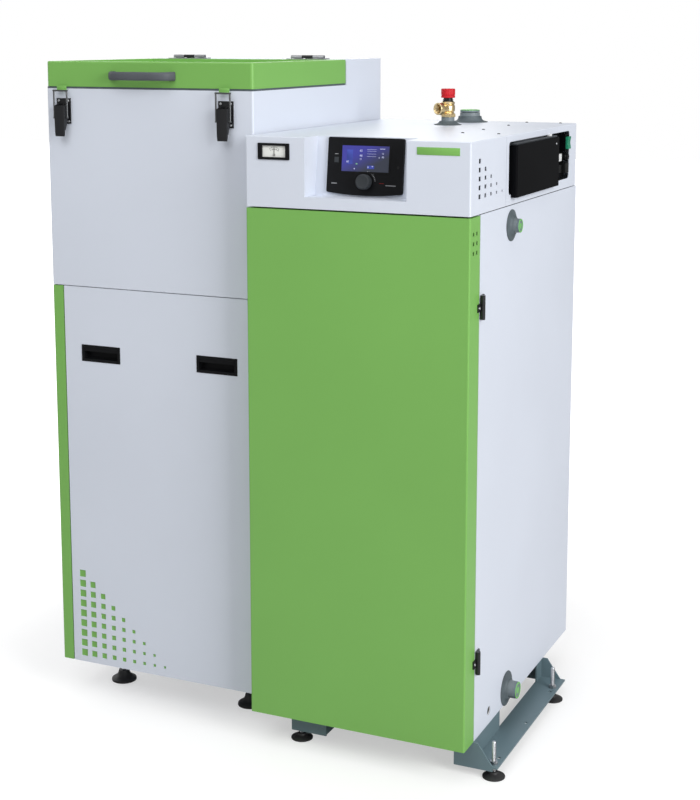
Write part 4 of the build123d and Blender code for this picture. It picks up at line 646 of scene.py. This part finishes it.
def valve_fitting():
    """The brass fitting: hexagon, waist and an outlet with an inner thread."""
    brass = bmesh.new()
    stem = [(8.5, 0.0), (13.2, 0.0), (13.4, 8.0), (12.6, 9.0), (11.8, 10.2), (12.8, 11.4), (14.2, 13.0)]
    stem += [(14.4, 22.0), (13.8, 24.0), (12.4, 25.6), (13.6, 26.6), (13.9, 30.6), (13.2, 31.5), (4.0, 31.5)]
    add_turned(brass, stem, above_valve(valve_low.z), 64)
    hexagon = [(15.0, 0.2), (16.5, 1.0), (16.5, 6.4), (15.2, 7.2), (12.0, 7.6)]
    add_turned(brass, hexagon, above_valve(valve_low.z), 6)
    spout = [(8.0, 4.0), (11.6, 8.0), (11.8, 18.0), (12.3, 19.0), (12.5, 21.0), (12.5, 29.0), (11.9, 30.0)]
    spout += [(10.2, 30.0)]
    for thread in range(OUTLET_THREADS):
        spout += [(9.35, 29.2 - thread * 1.8), (10.0, 28.3 - thread * 1.8)]
    spout += [(9.3, 16.5), (1.0, 16.4)]
    turn = math.radians(OUTLET_TURN)
    start = valve_axis + Vector((0, 0, valve_low.z + OUTLET_HEIGHT * MM))
    add_turned(brass, spout, axis_frame(start, (-math.sin(turn), -math.cos(turn), 0)), 56)
    fitting = finish_mesh("valve_fitting", brass, "brass", "casing", angle=28)
    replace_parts(fitting, "safety_valve_body")


def valve_cap():
    """The ribbed turning cap."""
    profile = [(4.2, 0.1), (13.2, 0.1), (14.4, 0.8), (14.4, 4.6), (13.6, 5.2), (13.6, 6.0), (14.5, 6.6)]
    profile += [(14.5, 17.2), (13.9, 18.4), (12.8, 18.95), (11.6, 18.7), (1.0, 18.6)]
    cap = bmesh.new()
    add_turned(cap, profile, above_valve(cap_low.z), 144, CAP_FLUTE_DEPTH, CAP_FLUTES)
    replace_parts(finish_mesh("valve_turning_cap", cap, "red", "valve_cap", angle=40), "safety_valve_cap")


def valve_neck():
    """The black neck between fitting and cap, with its spindle."""
    profile = [(11.4, 0.0), (11.4, 1.6), (10.0, 2.0), (10.0, 2.8), (10.8, 3.2), (10.8, 4.6), (9.4, 5.0)]
    profile += [(9.4, 7.5), (3.9, 7.6), (3.9, 18.0), (3.0, 18.4)]
    neck = bmesh.new()
    add_turned(neck, profile, above_valve(valve_high.z), 48)
    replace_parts(finish_mesh("valve_neck", neck, "black_metal", "casing"), "safety_valve_bonnet")


# Ports
SLEEVE_TOP = 13.0
VALVE_PIPE_RADIUS = 13.45
TOP_PORT_RADIUS = 21.2


def port_places():
    """Each port's spot, direction, collar radius, pipe radius, and reach where it has a cap."""
    mounts = {mount["name"]: mount for mount in frame["record"]["mounts"]}
    top = mounts["top_port"]["pos_m"]
    top_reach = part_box("port_plugs")[1].z - cover_z
    places = [
        (Vector((valve_axis.x, valve_axis.y, cover_z)), UP, 28.5, VALVE_PIPE_RADIUS, None),
        (Vector((top[0], top[1], cover_z)), UP, 38.0, TOP_PORT_RADIUS, top_reach),
    ]
    for key, brim, reach in (("side_port_upper", 30.0, 19.0), ("side_port_lower", 34.5, 25.0)):
        mount = mounts[key]
        spot = Vector((side_x, mount["pos_m"][1], mount["pos_m"][2]))
        places.append((spot, RIGHT, brim, mount["dims"]["r_mm"], reach * MM))
    return places


def collar_profile(brim, pipe, tall):
    """A flexible collar round a pipe, drawn up into a sleeve where it is tall."""
    outline = [(pipe + 1.2, 0.05), (brim - 0.8, 0.05), (brim, 0.5), (brim - 0.3, 1.2), (brim - 2.5, 1.6)]
    outline += [(brim - 4.0, 2.1), (pipe + 8.5, 3.0), (pipe + 6.6, 4.2), (pipe + 5.0, 6.0)]
    if tall:
        return outline + [(pipe + 4.0, 8.0), (pipe + 3.2, SLEEVE_TOP - 0.5), (pipe + 0.3, SLEEVE_TOP)]
    return outline + [(pipe + 4.0, 7.4), (pipe + 3.0, 7.9), (pipe + 1.2, 7.6)]


def ports():
    """Collars, pipe ends and recessed caps."""
    collars = bmesh.new()
    caps = bmesh.new()
    sleeves = bmesh.new()
    for spot, direction, brim, pipe, reach in port_places():
        tall = direction == UP and reach is not None
        add_turned(collars, collar_profile(brim, pipe, tall), axis_frame(spot, direction), 72)
        if reach is None:
            continue
        end = axis_frame(spot + Vector(direction) * reach, direction)
        sleeve = [(pipe - 1.2, -5.0), (pipe - 0.5, -4.9), (pipe - 0.4, -4.6), (pipe - 0.4, -1.1)]
        sleeve += [(pipe - 0.9, -0.9)]
        add_turned(sleeves, sleeve, end, 64)
        cap = [(pipe - 1.6, -4.0), (pipe - 1.0, -1.4), (pipe - 0.6, -0.9), (pipe - 0.9, -0.3)]
        cap += [(pipe - 1.8, 0.0), (pipe - 3.0, 0.0), (pipe - 3.5, -0.6), (pipe - 3.8, -3.2)]
        cap += [(pipe * 0.46, -3.4), (pipe * 0.40, -0.8), (0.5, -0.6)]
        add_turned(caps, cap, end, 64)
    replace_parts(finish_mesh("port_collars", collars, "rubber", "casing"), "port_rosettes")
    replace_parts(finish_mesh("port_caps", caps, "cap_green", "casing"), "port_plugs")
    finish_mesh("port_sleeves", sleeves, "pipe_grey", "casing")


# Small hole low in the side panel, with a black disc behind it as painted shade
HOLE_DEPTH = 137.0
HOLE_HEIGHT = 93.6
SHADE_DISC_RADIUS = 9.0
SHADE_DISC_SET_BACK = 2.6


def side_hole_painted_shade():
    """A black disc behind the hole: painted shade standing in for the darkness inside the casing."""
    # This disc is painted shade: a dark sheet where the hole would only show shadow inside
    spot = (side_x - SHADE_DISC_SET_BACK * MM, unit_front + HOLE_DEPTH * MM, HOLE_HEIGHT * MM)
    profile = [(0.5, -0.8), (SHADE_DISC_RADIUS, -0.8), (SHADE_DISC_RADIUS, 0.0), (0.5, 0.2)]
    shade_disc = bmesh.new()
    add_turned(shade_disc, profile, axis_frame(spot, RIGHT), 32)
    finish_mesh("side_hole_painted_shade", shade_disc, "black", "casing")


def cover_screws():
    """Screws on the top cover, counted from its left edge and the unit's front."""
    places = []
    for x, y in ((336, 240), (336, 358), (336, 513), (336, 634), (409, 236), (409, 636)):
        places.append(axis_frame((unit_left + x * MM, unit_front + y * MM, cover_z), UP))
    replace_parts(screws("cover_screws", places, 3.2, 1.6, "black_metal", "casing"), "casing_screws")


# Levelling feet
RAIL_FOOT_OUT = 37.0
RAIL_FOOT_IN = 80.0
RAIL_FOOT_DEPTHS = (61.5, 435.0)
HOPPER_FOOT_IN = 76.5
HOPPER_FOOT_DEPTHS = (156.5, 560.0)
STUD_RADIUS = 4.0
STUD_FOOT = 6.0
OUTER_STUD_TOP = 70.5
INNER_STUD_TOP = 62.5
HOPPER_STUD_TOP = 94.5
THREAD_PITCH = 1.25


def threaded(low, high):
    """The outline of a fine metric thread between two heights."""
    outline = [(STUD_RADIUS - 1.0, low)]
    for turn in range(int((high - low - 2) / THREAD_PITCH)):
        outline.append((STUD_RADIUS - 0.55, low + 0.6 + turn * THREAD_PITCH))
        outline.append((STUD_RADIUS, low + 0.6 + (turn + 0.5) * THREAD_PITCH))
    outline.append((STUD_RADIUS - 0.55, high - 0.9))
    outline.append((STUD_RADIUS - 1.3, high))
    return outline


def levelling_feet():
    """Flat discs under the rails, cones under the hopper, and a threaded stud on each."""
    disc = [(19.5, 0.0), (21.2, 0.6), (21.5, 2.0), (21.2, 3.4), (19.6, 4.4), (12.0, 6.6), (9.0, 8.4)]
    disc += [(7.8, 11.6), (6.6, 12.0), (4.2, 12.0)]
    cone = [(24.5, 0.0), (26.2, 0.8), (26.5, 3.0), (26.0, 5.0), (24.0, 6.4), (20.0, 8.6), (15.0, 12.5)]
    cone += [(12.4, 17.0), (11.2, 22.0), (10.4, 23.8), (4.2, 24.0)]
    lid_low, lid_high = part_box("hopper_lid")
    rows = [
        (side_x + RAIL_FOOT_OUT * MM, RAIL_FOOT_DEPTHS, disc, OUTER_STUD_TOP),
        (unit_left + RAIL_FOOT_IN * MM, RAIL_FOOT_DEPTHS, disc, INNER_STUD_TOP),
        (lid_low.x + HOPPER_FOOT_IN * MM, HOPPER_FOOT_DEPTHS, cone, HOPPER_STUD_TOP),
        (lid_high.x - HOPPER_FOOT_IN * MM, HOPPER_FOOT_DEPTHS, cone, HOPPER_STUD_TOP),
    ]
    feet = bmesh.new()
    studs = bmesh.new()
    for x, depths, shape, stud_top in rows:
        for depth in depths:
            place = axis_frame((x, unit_front + depth * MM, 0), UP)
            add_turned(feet, shape, place, 56)
            add_turned(studs, threaded(STUD_FOOT, stud_top), place, 24)
    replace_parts(finish_mesh("foot_pads", feet, "foot", "casing"), "levelling_feet")
    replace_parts(finish_mesh("foot_studs", studs, "zinc", "casing", angle=25), "levelling_studs")


# Lid handle
BOW_STEPS = 20
BOW_HALF_THICKNESS = 4.3
BOW_HALF_HEIGHT = 8.0
BOW_SQUARENESS = 0.75
BOW_FOOT = 0.93
PAD_LONG = 9.5
PAD_SHORT = 4.8
PAD_HALF_HEIGHT = 8.4
bow_low, bow_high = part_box("lid_handle")
bow_middle = (bow_low + bow_high) / 2
bow_half = (bow_high.x - bow_low.x) / 2


def squared(value):
    """A sine or cosine drawn towards a squarer curve."""
    return abs(value) ** BOW_SQUARENESS * math.copysign(1, value)


def lid_bow():
    """A rounded bow with flared feet, from shares of its length and reach and its girth."""
    reach = bow_high.y - bow_low.y
    path = [(-BOW_FOOT, 0.0, 1.25), (-0.90, 0.30, 1.12), (-0.82, 0.62, 1.02), (-0.70, 0.80, 1.0)]
    path += [(-0.45, 0.85, 1.0), (-0.20, 0.86, 1.02), (0.0, 0.865, 1.03)]
    path += [(-along, out, girth) for along, out, girth in reversed(path[:-1])]
    bow = bmesh.new()
    rings = []
    for index, (along, out, girth) in enumerate(path):
        before = path[max(index - 1, 0)]
        after = path[min(index + 1, len(path) - 1)]
        run = Vector(((after[0] - before[0]) * bow_half, -(after[1] - before[1]) * reach, 0)).normalized()
        side = Vector((run.y, -run.x, 0))
        centre = Vector((bow_middle.x + along * bow_half, bow_high.y - out * reach, bow_middle.z))
        ring = []
        for step in range(BOW_STEPS):
            angle = 2 * math.pi * step / BOW_STEPS
            wide = BOW_HALF_THICKNESS * MM * girth * squared(math.cos(angle))
            tall = BOW_HALF_HEIGHT * MM * min(girth, 1.06) * squared(math.sin(angle))
            ring.append(bow.verts.new(centre + side * wide + Vector((0, 0, tall))))
        rings.append(ring)
    join_rings(bow, rings)
    bow_piece = finish_mesh("lid_bow_handle", bow, "handle_grey", "lid", angle=60)
    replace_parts(bow_piece, "lid_handle")


def lid_handle_pads():
    """The pads under the bow's feet, each longer towards the middle."""
    pads = bmesh.new()
    for side in (-1, 1):
        foot_x = bow_middle.x + side * BOW_FOOT * bow_half
        left, right = (PAD_LONG, PAD_SHORT) if side > 0 else (PAD_SHORT, PAD_LONG)
        low = (foot_x - left * MM, bow_high.y - 3.0 * MM, bow_middle.z - PAD_HALF_HEIGHT * MM)
        high = (foot_x + right * MM, bow_high.y - 0.02 * MM, bow_middle.z + PAD_HALF_HEIGHT * MM)
        add_box(pads, low, high, None, 1.2)
    finish_mesh("lid_handle_pads", pads, "handle_grey", "lid")


# Flush handles
FLUSH_OUTER = (45.0, 17.0)
FLUSH_INNER = (39.0, 11.5)
FLUSH_RIM = 1.2
CUP_DEPTH = 15.0
CUP_WALL = 0.9


def flush_blocks(front):
    """One handle's blocks: (low x, high x, low z, high z), near, far and softening."""
    face = front + FLUSH_RIM
    wide, tall = FLUSH_INNER
    blocks = [(bar, front, front + 2.4, 0.8) for bar in frame_bars(*FLUSH_OUTER, wide, tall)]
    blocks.append(((-wide, wide, -tall, tall), face + 13.8, face + 15.4, 0.0))
    for wall in (
        (-wide - CUP_WALL, -wide, -tall, tall),
        (wide, wide + CUP_WALL, -tall, tall),
        (-wide, wide, -tall - CUP_WALL, -tall),
        (-wide, wide, tall, tall + CUP_WALL),
    ):
        blocks.append((wall, face, face + CUP_DEPTH, 0.0))
    blocks.append(((-wide + 0.3, wide - 0.3, 4.0, tall), front + 0.5, front + 3.2, 1.0))
    return blocks


def flush_grips():
    """Soft-edged frame, deep cup and an upper grip lip, twice."""
    low_corner, high_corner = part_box("flush_handles")
    middle_z = (low_corner.z + high_corner.z) / 2
    half = FLUSH_OUTER[0] * MM
    grips = bmesh.new()
    for centre_x in (low_corner.x + half, high_corner.x - half):
        for (low_x, high_x, low_z, high_z), near, far, bevel in flush_blocks(low_corner.y / MM):
            low = (centre_x + low_x * MM, near * MM, middle_z + low_z * MM)
            high = (centre_x + high_x * MM, far * MM, middle_z + high_z * MM)
            add_box(grips, low, high, None, bevel, 3)
    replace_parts(finish_mesh("flush_grips", grips, "black", "front_panel"), "flush_handles")


# Latches
LEVER_TOP = 1228.0
LEVER_ROWS = 14
LEVER_HALF_WIDTH = 12.0
KEEPER_HALF_WIDTH = 11.0
LATCH_SIDES = ("left", "right")


def latch_keepers():
    """A folded tongue under the lid's lower edge for each latch."""
    keeper_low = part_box("latch_keepers")[0]
    lid_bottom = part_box("hopper_lid")[0].z
    keepers = bmesh.new()
    for side_name in LATCH_SIDES:
        lever_low, lever_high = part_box(f"latch_lever_{side_name}")
        x = (lever_low.x + lever_high.x) / 2
        half = KEEPER_HALF_WIDTH * MM
        low = (x - half, keeper_low.y + 1.0 * MM, keeper_low.z + 0.3 * MM)
        high = (x + half, keeper_low.y + 3.0 * MM, lid_bottom + 1.5 * MM)
        add_box(keepers, low, high, None, 0.6)
        half -= 2 * MM
        low = (x - half, keeper_low.y + 0.1 * MM, keeper_low.z + 0.2 * MM)
        high = (x + half, keeper_low.y + 2.0 * MM, keeper_low.z + 4.0 * MM)
        add_box(keepers, low, high, None, 0.8, 3)
    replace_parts(finish_mesh("keeper_tongues", keepers, "green", "lid"), "latch_keepers")


def lever_ring(lever, middle_x, face_y, z, half):
    """One cross section of a pressed lever, whose edges fold back."""
    outline = [(-half, 3.0), (-half + 0.6, 0.8), (-half + 2.6, 0.0), (half - 2.6, 0.0), (half - 0.6, 0.8)]
    outline += [(half, 3.0), (half - 1.8, 3.0), (-half + 1.8, 3.0)]
    return [lever.verts.new((middle_x + across * MM, face_y + back * MM, z)) for across, back in outline]


def pressed_lever(low, high):
    """A slightly tapered lever with two cheeks round its pivot."""
    middle_x = (low.x + high.x) / 2
    top_z = (LEVER_TOP + 1.5) * MM
    lever = bmesh.new()
    rings = []
    for row in range(LEVER_ROWS + 1):
        share = row / LEVER_ROWS
        half = LEVER_HALF_WIDTH - max(0.0, share - 0.25) ** 0.8 - max(0.0, share - 0.86) * 6
        rings.append(lever_ring(lever, middle_x, low.y, top_z - share * (top_z - low.z), half))
    join_rings(lever, rings)
    cheek = [(3.0, 1.5), (3.0, -42.0), (4.5, -46.0), (12.0, -28.0), (15.0, -6.0), (15.9, 0.0), (14.4, 3.4)]
    cheek += [(11.0, 4.8), (7.6, 3.4)]
    for sides in ((-11.9, -10.2), (10.2, 11.9)):
        rings = []
        for across in sides:
            x = middle_x + across * MM
            corners = [(x, low.y + back * MM, (LEVER_TOP + up) * MM) for back, up in cheek]
            rings.append([lever.verts.new(corner) for corner in corners])
        join_rings(lever, rings)
    return lever


def latch_levers():
    """Both levers, each on its own body."""
    for side_name in LATCH_SIDES:
        node_name = f"latch_lever_{side_name}"
        body_name = f"{side_name}_lever"
        lever = pressed_lever(*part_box(node_name))
        piece = finish_mesh(f"pressed_lever_{side_name}", lever, "black_metal", body_name, angle=30)
        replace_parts(piece, node_name)


def latch_rivets():
    """Four rivets on each latch's base plate."""
    base_low, base_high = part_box("latch_bases")
    rivets = []
    for middle_x in (base_low.x + 16 * MM, base_high.x - 16 * MM):
        for across in (-11, 11):
            for z in (base_low.z + 5 * MM, base_high.z - 5 * MM):
                rivets.append(axis_frame((middle_x + across * MM, base_high.y - 2.0 * MM, z), FORWARD))
    screws("latch_plate_rivets", rivets, 2.4, 1.1, "zinc", "casing")


# Lid hinges
HINGE_MIDDLE = 38.5
HINGE_RIVET_STEPS = (-27, 0, 27)
HINGE_EDGE_MARGIN = 8.0
HINGE_LEAF = 1.5


def lid_hinge_rivets():
    """Three rivets on each leaf of the lid's hinges."""
    lid_low, lid_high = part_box("lid_hinge_leaves")
    head_low, head_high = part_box("lid_hinge_bases")
    on_lid = []
    on_head = []
    for centre_x in (lid_low.x + HINGE_MIDDLE * MM, lid_high.x - HINGE_MIDDLE * MM):
        for step in HINGE_RIVET_STEPS:
            x = centre_x + step * MM
            lid_spot = (x, lid_low.y + HINGE_EDGE_MARGIN * MM, lid_low.z + HINGE_LEAF * MM)
            head_spot = (x, head_high.y - HINGE_EDGE_MARGIN * MM, head_low.z + HINGE_LEAF * MM)
            on_lid.append(axis_frame(lid_spot, UP))
            on_head.append(axis_frame(head_spot, UP))
    screws("lid_hinge_rivets", on_lid, 3.2, 1.4, "zinc", "lid")
    screws("head_hinge_rivets", on_head, 3.2, 1.4, "zinc", "casing")


# Control module: places count out from the side panel, back from the unit's front, and up
COVER_FACE = 12.0
COVER_FRONT = 218.0
COVER_REAR = 486.0
COVER_TOP = 1165.0
COVER_BOTTOM = 1068.0
RECESS = -12.0


def module_spot(out, depth, height):
    """A place on the side of the unit."""
    return Vector((side_x + out * MM, unit_front + depth * MM, height * MM))


def module_box(mesh_data, outs, depths, heights, bevel, segments=2):
    """A soft-edged box between pairs of distances."""
    low = module_spot(outs[0], depths[0], heights[0])
    high = module_spot(outs[1], depths[1], heights[1])
    add_box(mesh_data, low, high, None, bevel, segments)


def module_cover_details():
    """Top rail, screws and clip of the module's cover."""
    rail = bmesh.new()
    module_box(rail, (-10, 9), (COVER_FRONT + 6, COVER_REAR - 4), (COVER_TOP, COVER_TOP + 3.5), 1.2)
    module_box(rail, (-6, -1), (COVER_FRONT + 20, COVER_REAR - 60), (COVER_TOP + 3, COVER_TOP + 5.5), 0.8)
    finish_mesh("module_top_rail", rail, "charcoal", "casing")
    spots = [(COVER_FACE, COVER_REAR - 18, COVER_TOP - 12)]
    spots += [(RECESS, COVER_FRONT - 7, COVER_BOTTOM + 14), (RECESS, COVER_FRONT - 7, COVER_TOP - 10)]
    places = [axis_frame(module_spot(*spot), RIGHT) for spot in spots]
    screws("module_screws", places, 2.6, 0.9, "zinc", "casing")
    clip = bmesh.new()
    module_box(clip, (-4, 4), (COVER_REAR - 34, COVER_REAR - 24), (COVER_TOP + 0.5, COVER_TOP + 8), 1.0)
    finish_mesh("module_clip", clip, "pale_plastic", "casing")


def white_connector():
    """The white connector with its pins, in the recess."""
    white = bmesh.new()
    module_box(white, (RECESS, RECESS + 10.8), (526, 550), (1112, 1127), 0.8)
    for pin in range(3):
        depths = (529 + 7 * pin, 533 + 7 * pin)
        module_box(white, (RECESS + 10, RECESS + 11.4), depths, (1115, 1124), 0.3, 1)
    finish_mesh("white_connector", white, "pale_plastic", "casing")


def plug_connectors():
    """Dark sockets, fuse holder and ribs in the recess."""
    dark = bmesh.new()
    module_box(dark, (RECESS, RECESS + 9), (526, 556), (1088, 1104), 1.0)
    fuse = [(6.8, 0.0), (7.0, 1.0), (7.0, 11.0), (6.2, 12.0), (6.2, 15.0), (5.4, 16.4), (1.0, 16.8)]
    add_turned(dark, fuse, axis_frame(module_spot(RECESS, 579, 1119), RIGHT), 40)
    module_box(dark, (RECESS, RECESS + 14), (567, 591), (1086, 1106), 1.6, 3)
    for rib in range(3):
        module_box(dark, (RECESS, RECESS + 3), (496 + rib * 9, 502 + rib * 9), (1086, 1156), 0.6)
    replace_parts(finish_mesh("plug_connectors", dark, "black", "casing"), "module_connectors")


# Main switch
ROCKER_HALF_WIDTH = 10.0
ROCKER_SOFTENING = 0.8
ROCKER_AXIS = -1.0


def switch_rocker():
    """A softened wedge, high at both ends."""
    rocker_low, rocker_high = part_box("main_switch_rocker")
    middle = (rocker_low + rocker_high) / 2
    upper = [(-3.5, 6.0), (2.6, 12.3), (6.6, 12.9), (7.6, 12.4), (7.4, 9.0), (6.2, 3.0)]
    outline = [(out, -up) for out, up in upper] + [(5.9, 0.0)] + list(reversed(upper))
    soft = ROCKER_HALF_WIDTH - ROCKER_SOFTENING
    rocker = bmesh.new()
    rings = []
    for across, inset in ((-ROCKER_HALF_WIDTH, 0.6), (-soft, 0.0), (soft, 0.0), (ROCKER_HALF_WIDTH, 0.6)):
        ring = []
        for out, up in outline:
            reach = out - inset if out > 0 else out
            spot = ((ROCKER_AXIS + reach) * MM, across * MM, up * MM)
            ring.append(rocker.verts.new(Vector((side_x, middle.y, middle.z)) + Vector(spot)))
        rings.append(ring)
    join_rings(rocker, rings)
    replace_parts(finish_mesh("switch_rocker", rocker, "switch", "rocker", angle=32), "main_switch_rocker")


def name_plate():
    """A bare raised plate with a soft edge."""
    plate_low, plate_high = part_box("name_plate")
    bare = bmesh.new()
    add_box(bare, plate_low, plate_high, None, 0.3)
    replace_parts(finish_mesh("bare_plate", bare, "green", "casing"), "name_plate")


door_hinge_screws()
display_content()
display_surround()
panel_details()
turning_knob()
knob_scale()
gauge_scale()
gauge_rim()
valve_fitting()
valve_cap()
valve_neck()
ports()
side_hole_painted_shade()
cover_screws()
levelling_feet()
lid_bow()
lid_handle_pads()
flush_grips()
latch_keepers()
latch_levers()
latch_rivets()
lid_hinge_rivets()
module_cover_details()
white_connector()
plug_connectors()
switch_rocker()
name_plate()

# Stage: floor, world and lamps
FLOOR_REACH = 14.0
FLOOR_WHITE = 0.52
FLOOR_LIFT = 0.50
FADE_START = 0.60
FADE_END = 1.5
WORLD_LIGHT = 0.35


def emission(tree, strength):
    """A plain white glow."""
    glow = tree.nodes.new("ShaderNodeEmission")
    glow.inputs["Strength"].default_value = strength
    return glow.outputs["Emission"]


def mixed(tree, share, first, second):
    """Two shaders mixed by a socket."""
    mix = tree.nodes.new("ShaderNodeMixShader")
    tree.links.new(share, mix.inputs["Fac"])
    tree.links.new(first, mix.inputs[1])
    tree.links.new(second, mix.inputs[2])
    return mix.outputs["Shader"]


def floor_material():
    """Matt floor that keeps shadows near the object and fades into the white behind it."""
    material, tree, shader = new_material("pale_floor", (FLOOR_WHITE,) * 3, 0.9)
    shader.inputs["Specular IOR Level"].default_value = 0.1
    tint(tree, shader, noise(tree, 1.5, 2.0), (FLOOR_WHITE,) * 3, 0.01)
    place = tree.nodes.new("ShaderNodeTexCoord")
    distance = tree.nodes.new("ShaderNodeVectorMath")
    distance.operation = "LENGTH"
    tree.links.new(place.outputs["Object"], distance.inputs[0])
    fade = tree.nodes.new("ShaderNodeMapRange")
    fade.interpolation_type = "SMOOTHSTEP"
    fade.inputs["From Min"].default_value = FADE_START
    fade.inputs["From Max"].default_value = FADE_END
    tree.links.new(distance.outputs["Value"], fade.inputs["Value"])
    seen = tree.nodes.new("ShaderNodeLightPath").outputs["Is Camera Ray"]
    far_seen = arithmetic(tree, "MULTIPLY", fade.outputs["Result"], seen)
    total = tree.nodes.new("ShaderNodeAddShader")
    tree.links.new(mixed(tree, far_seen, shader.outputs["BSDF"], emission(tree, 1.0)), total.inputs[0])
    tree.links.new(mixed(tree, seen, emission(tree, 0.0), emission(tree, FLOOR_LIFT)), total.inputs[1])
    tree.links.new(total.outputs["Shader"], tree.nodes["Material Output"].inputs["Surface"])
    return material


def studio_floor():
    """A large flat square at the feet's level."""
    floor_data = bmesh.new()
    corners = ((-1, -1), (1, -1), (1, 1), (-1, 1))
    floor_data.faces.new([floor_data.verts.new((x * FLOOR_REACH, y * FLOOR_REACH, 0)) for x, y in corners])
    floor_mesh = bpy.data.meshes.new("floor")
    floor_data.to_mesh(floor_mesh)
    floor_data.free()
    floor_mesh.materials.append(floor_material())
    floor = bpy.data.objects.new("floor", floor_mesh)
    bpy.context.scene.collection.objects.link(floor)


def studio_world():
    """Soft light all round, seen as plain white."""
    world = bpy.data.worlds.new("studio")
    bpy.context.scene.world = world
    world.use_nodes = True
    tree = world.node_tree
    light = tree.nodes["Background"]
    backdrop = tree.nodes.new("ShaderNodeBackground")
    for node, strength in ((light, WORLD_LIGHT), (backdrop, 1.0)):
        node.inputs["Color"].default_value = (1, 1, 1, 1)
        node.inputs["Strength"].default_value = strength
    seen = tree.nodes.new("ShaderNodeLightPath").outputs["Is Camera Ray"]
    surface = mixed(tree, seen, light.outputs["Background"], backdrop.outputs["Background"])
    tree.links.new(surface, tree.nodes["World Output"].inputs["Surface"])


def lamp(name, place, target, power, size, size_y):
    """A soft rectangular lamp aimed at a point."""
    data = bpy.data.lights.new(name, "AREA")
    data.shape = "RECTANGLE"
    data.size = size
    data.size_y = size_y
    data.energy = power
    piece = bpy.data.objects.new(name, data)
    piece.location = place
    piece.rotation_euler = (Vector(target) - Vector(place)).to_track_quat("-Z", "Y").to_euler()
    bpy.context.scene.collection.objects.link(piece)


studio_floor()
studio_world()
lamp("key_right", (4.4, -2.0, 2.4), (0.2, 0, 0.8), 200, 2.6, 2.6)
lamp("front_soft", (-0.2, -3.2, 3.5), (0, 0, 1.3), 52, 3.0, 2.0)
lamp("top_soft", (0.2, -0.6, 4.4), (0, 0, 0.8), 40, 3.4, 3.4)
lamp("left_fill", (-4.4, 0.5, 2.2), (0, 0, 0.7), 38, 3.0, 3.0)
lamp("back_fill", (-2.6, 4.2, 2.4), (0, 0, 0.7), 60, 3.0, 3.0)

# Camera at the photograph's angle
CAMERA_PLACE = (1.3259, -2.8819, 1.3635)
CAMERA_PITCH = 8.957
CAMERA_TURN = 24.242
FOCAL_PIXELS = 1544.0
PICTURE_HEIGHT = 800
SENSOR_WIDTH = 36
LENS_SHIFT = -0.15


def photograph_camera():
    """The camera that frames the object as the photograph does."""
    data = bpy.data.cameras.new("camera")
    data.lens = FOCAL_PIXELS * SENSOR_WIDTH / PICTURE_HEIGHT
    data.sensor_width = SENSOR_WIDTH
    data.shift_y = LENS_SHIFT
    camera = bpy.data.objects.new("camera", data)
    camera.location = CAMERA_PLACE
    camera.rotation_euler = (math.radians(90 - CAMERA_PITCH), 0, math.radians(CAMERA_TURN))
    bpy.context.scene.collection.objects.link(camera)
    bpy.context.scene.camera = camera


photograph_camera()
bpy.context.scene.view_settings.view_transform = "Standard"
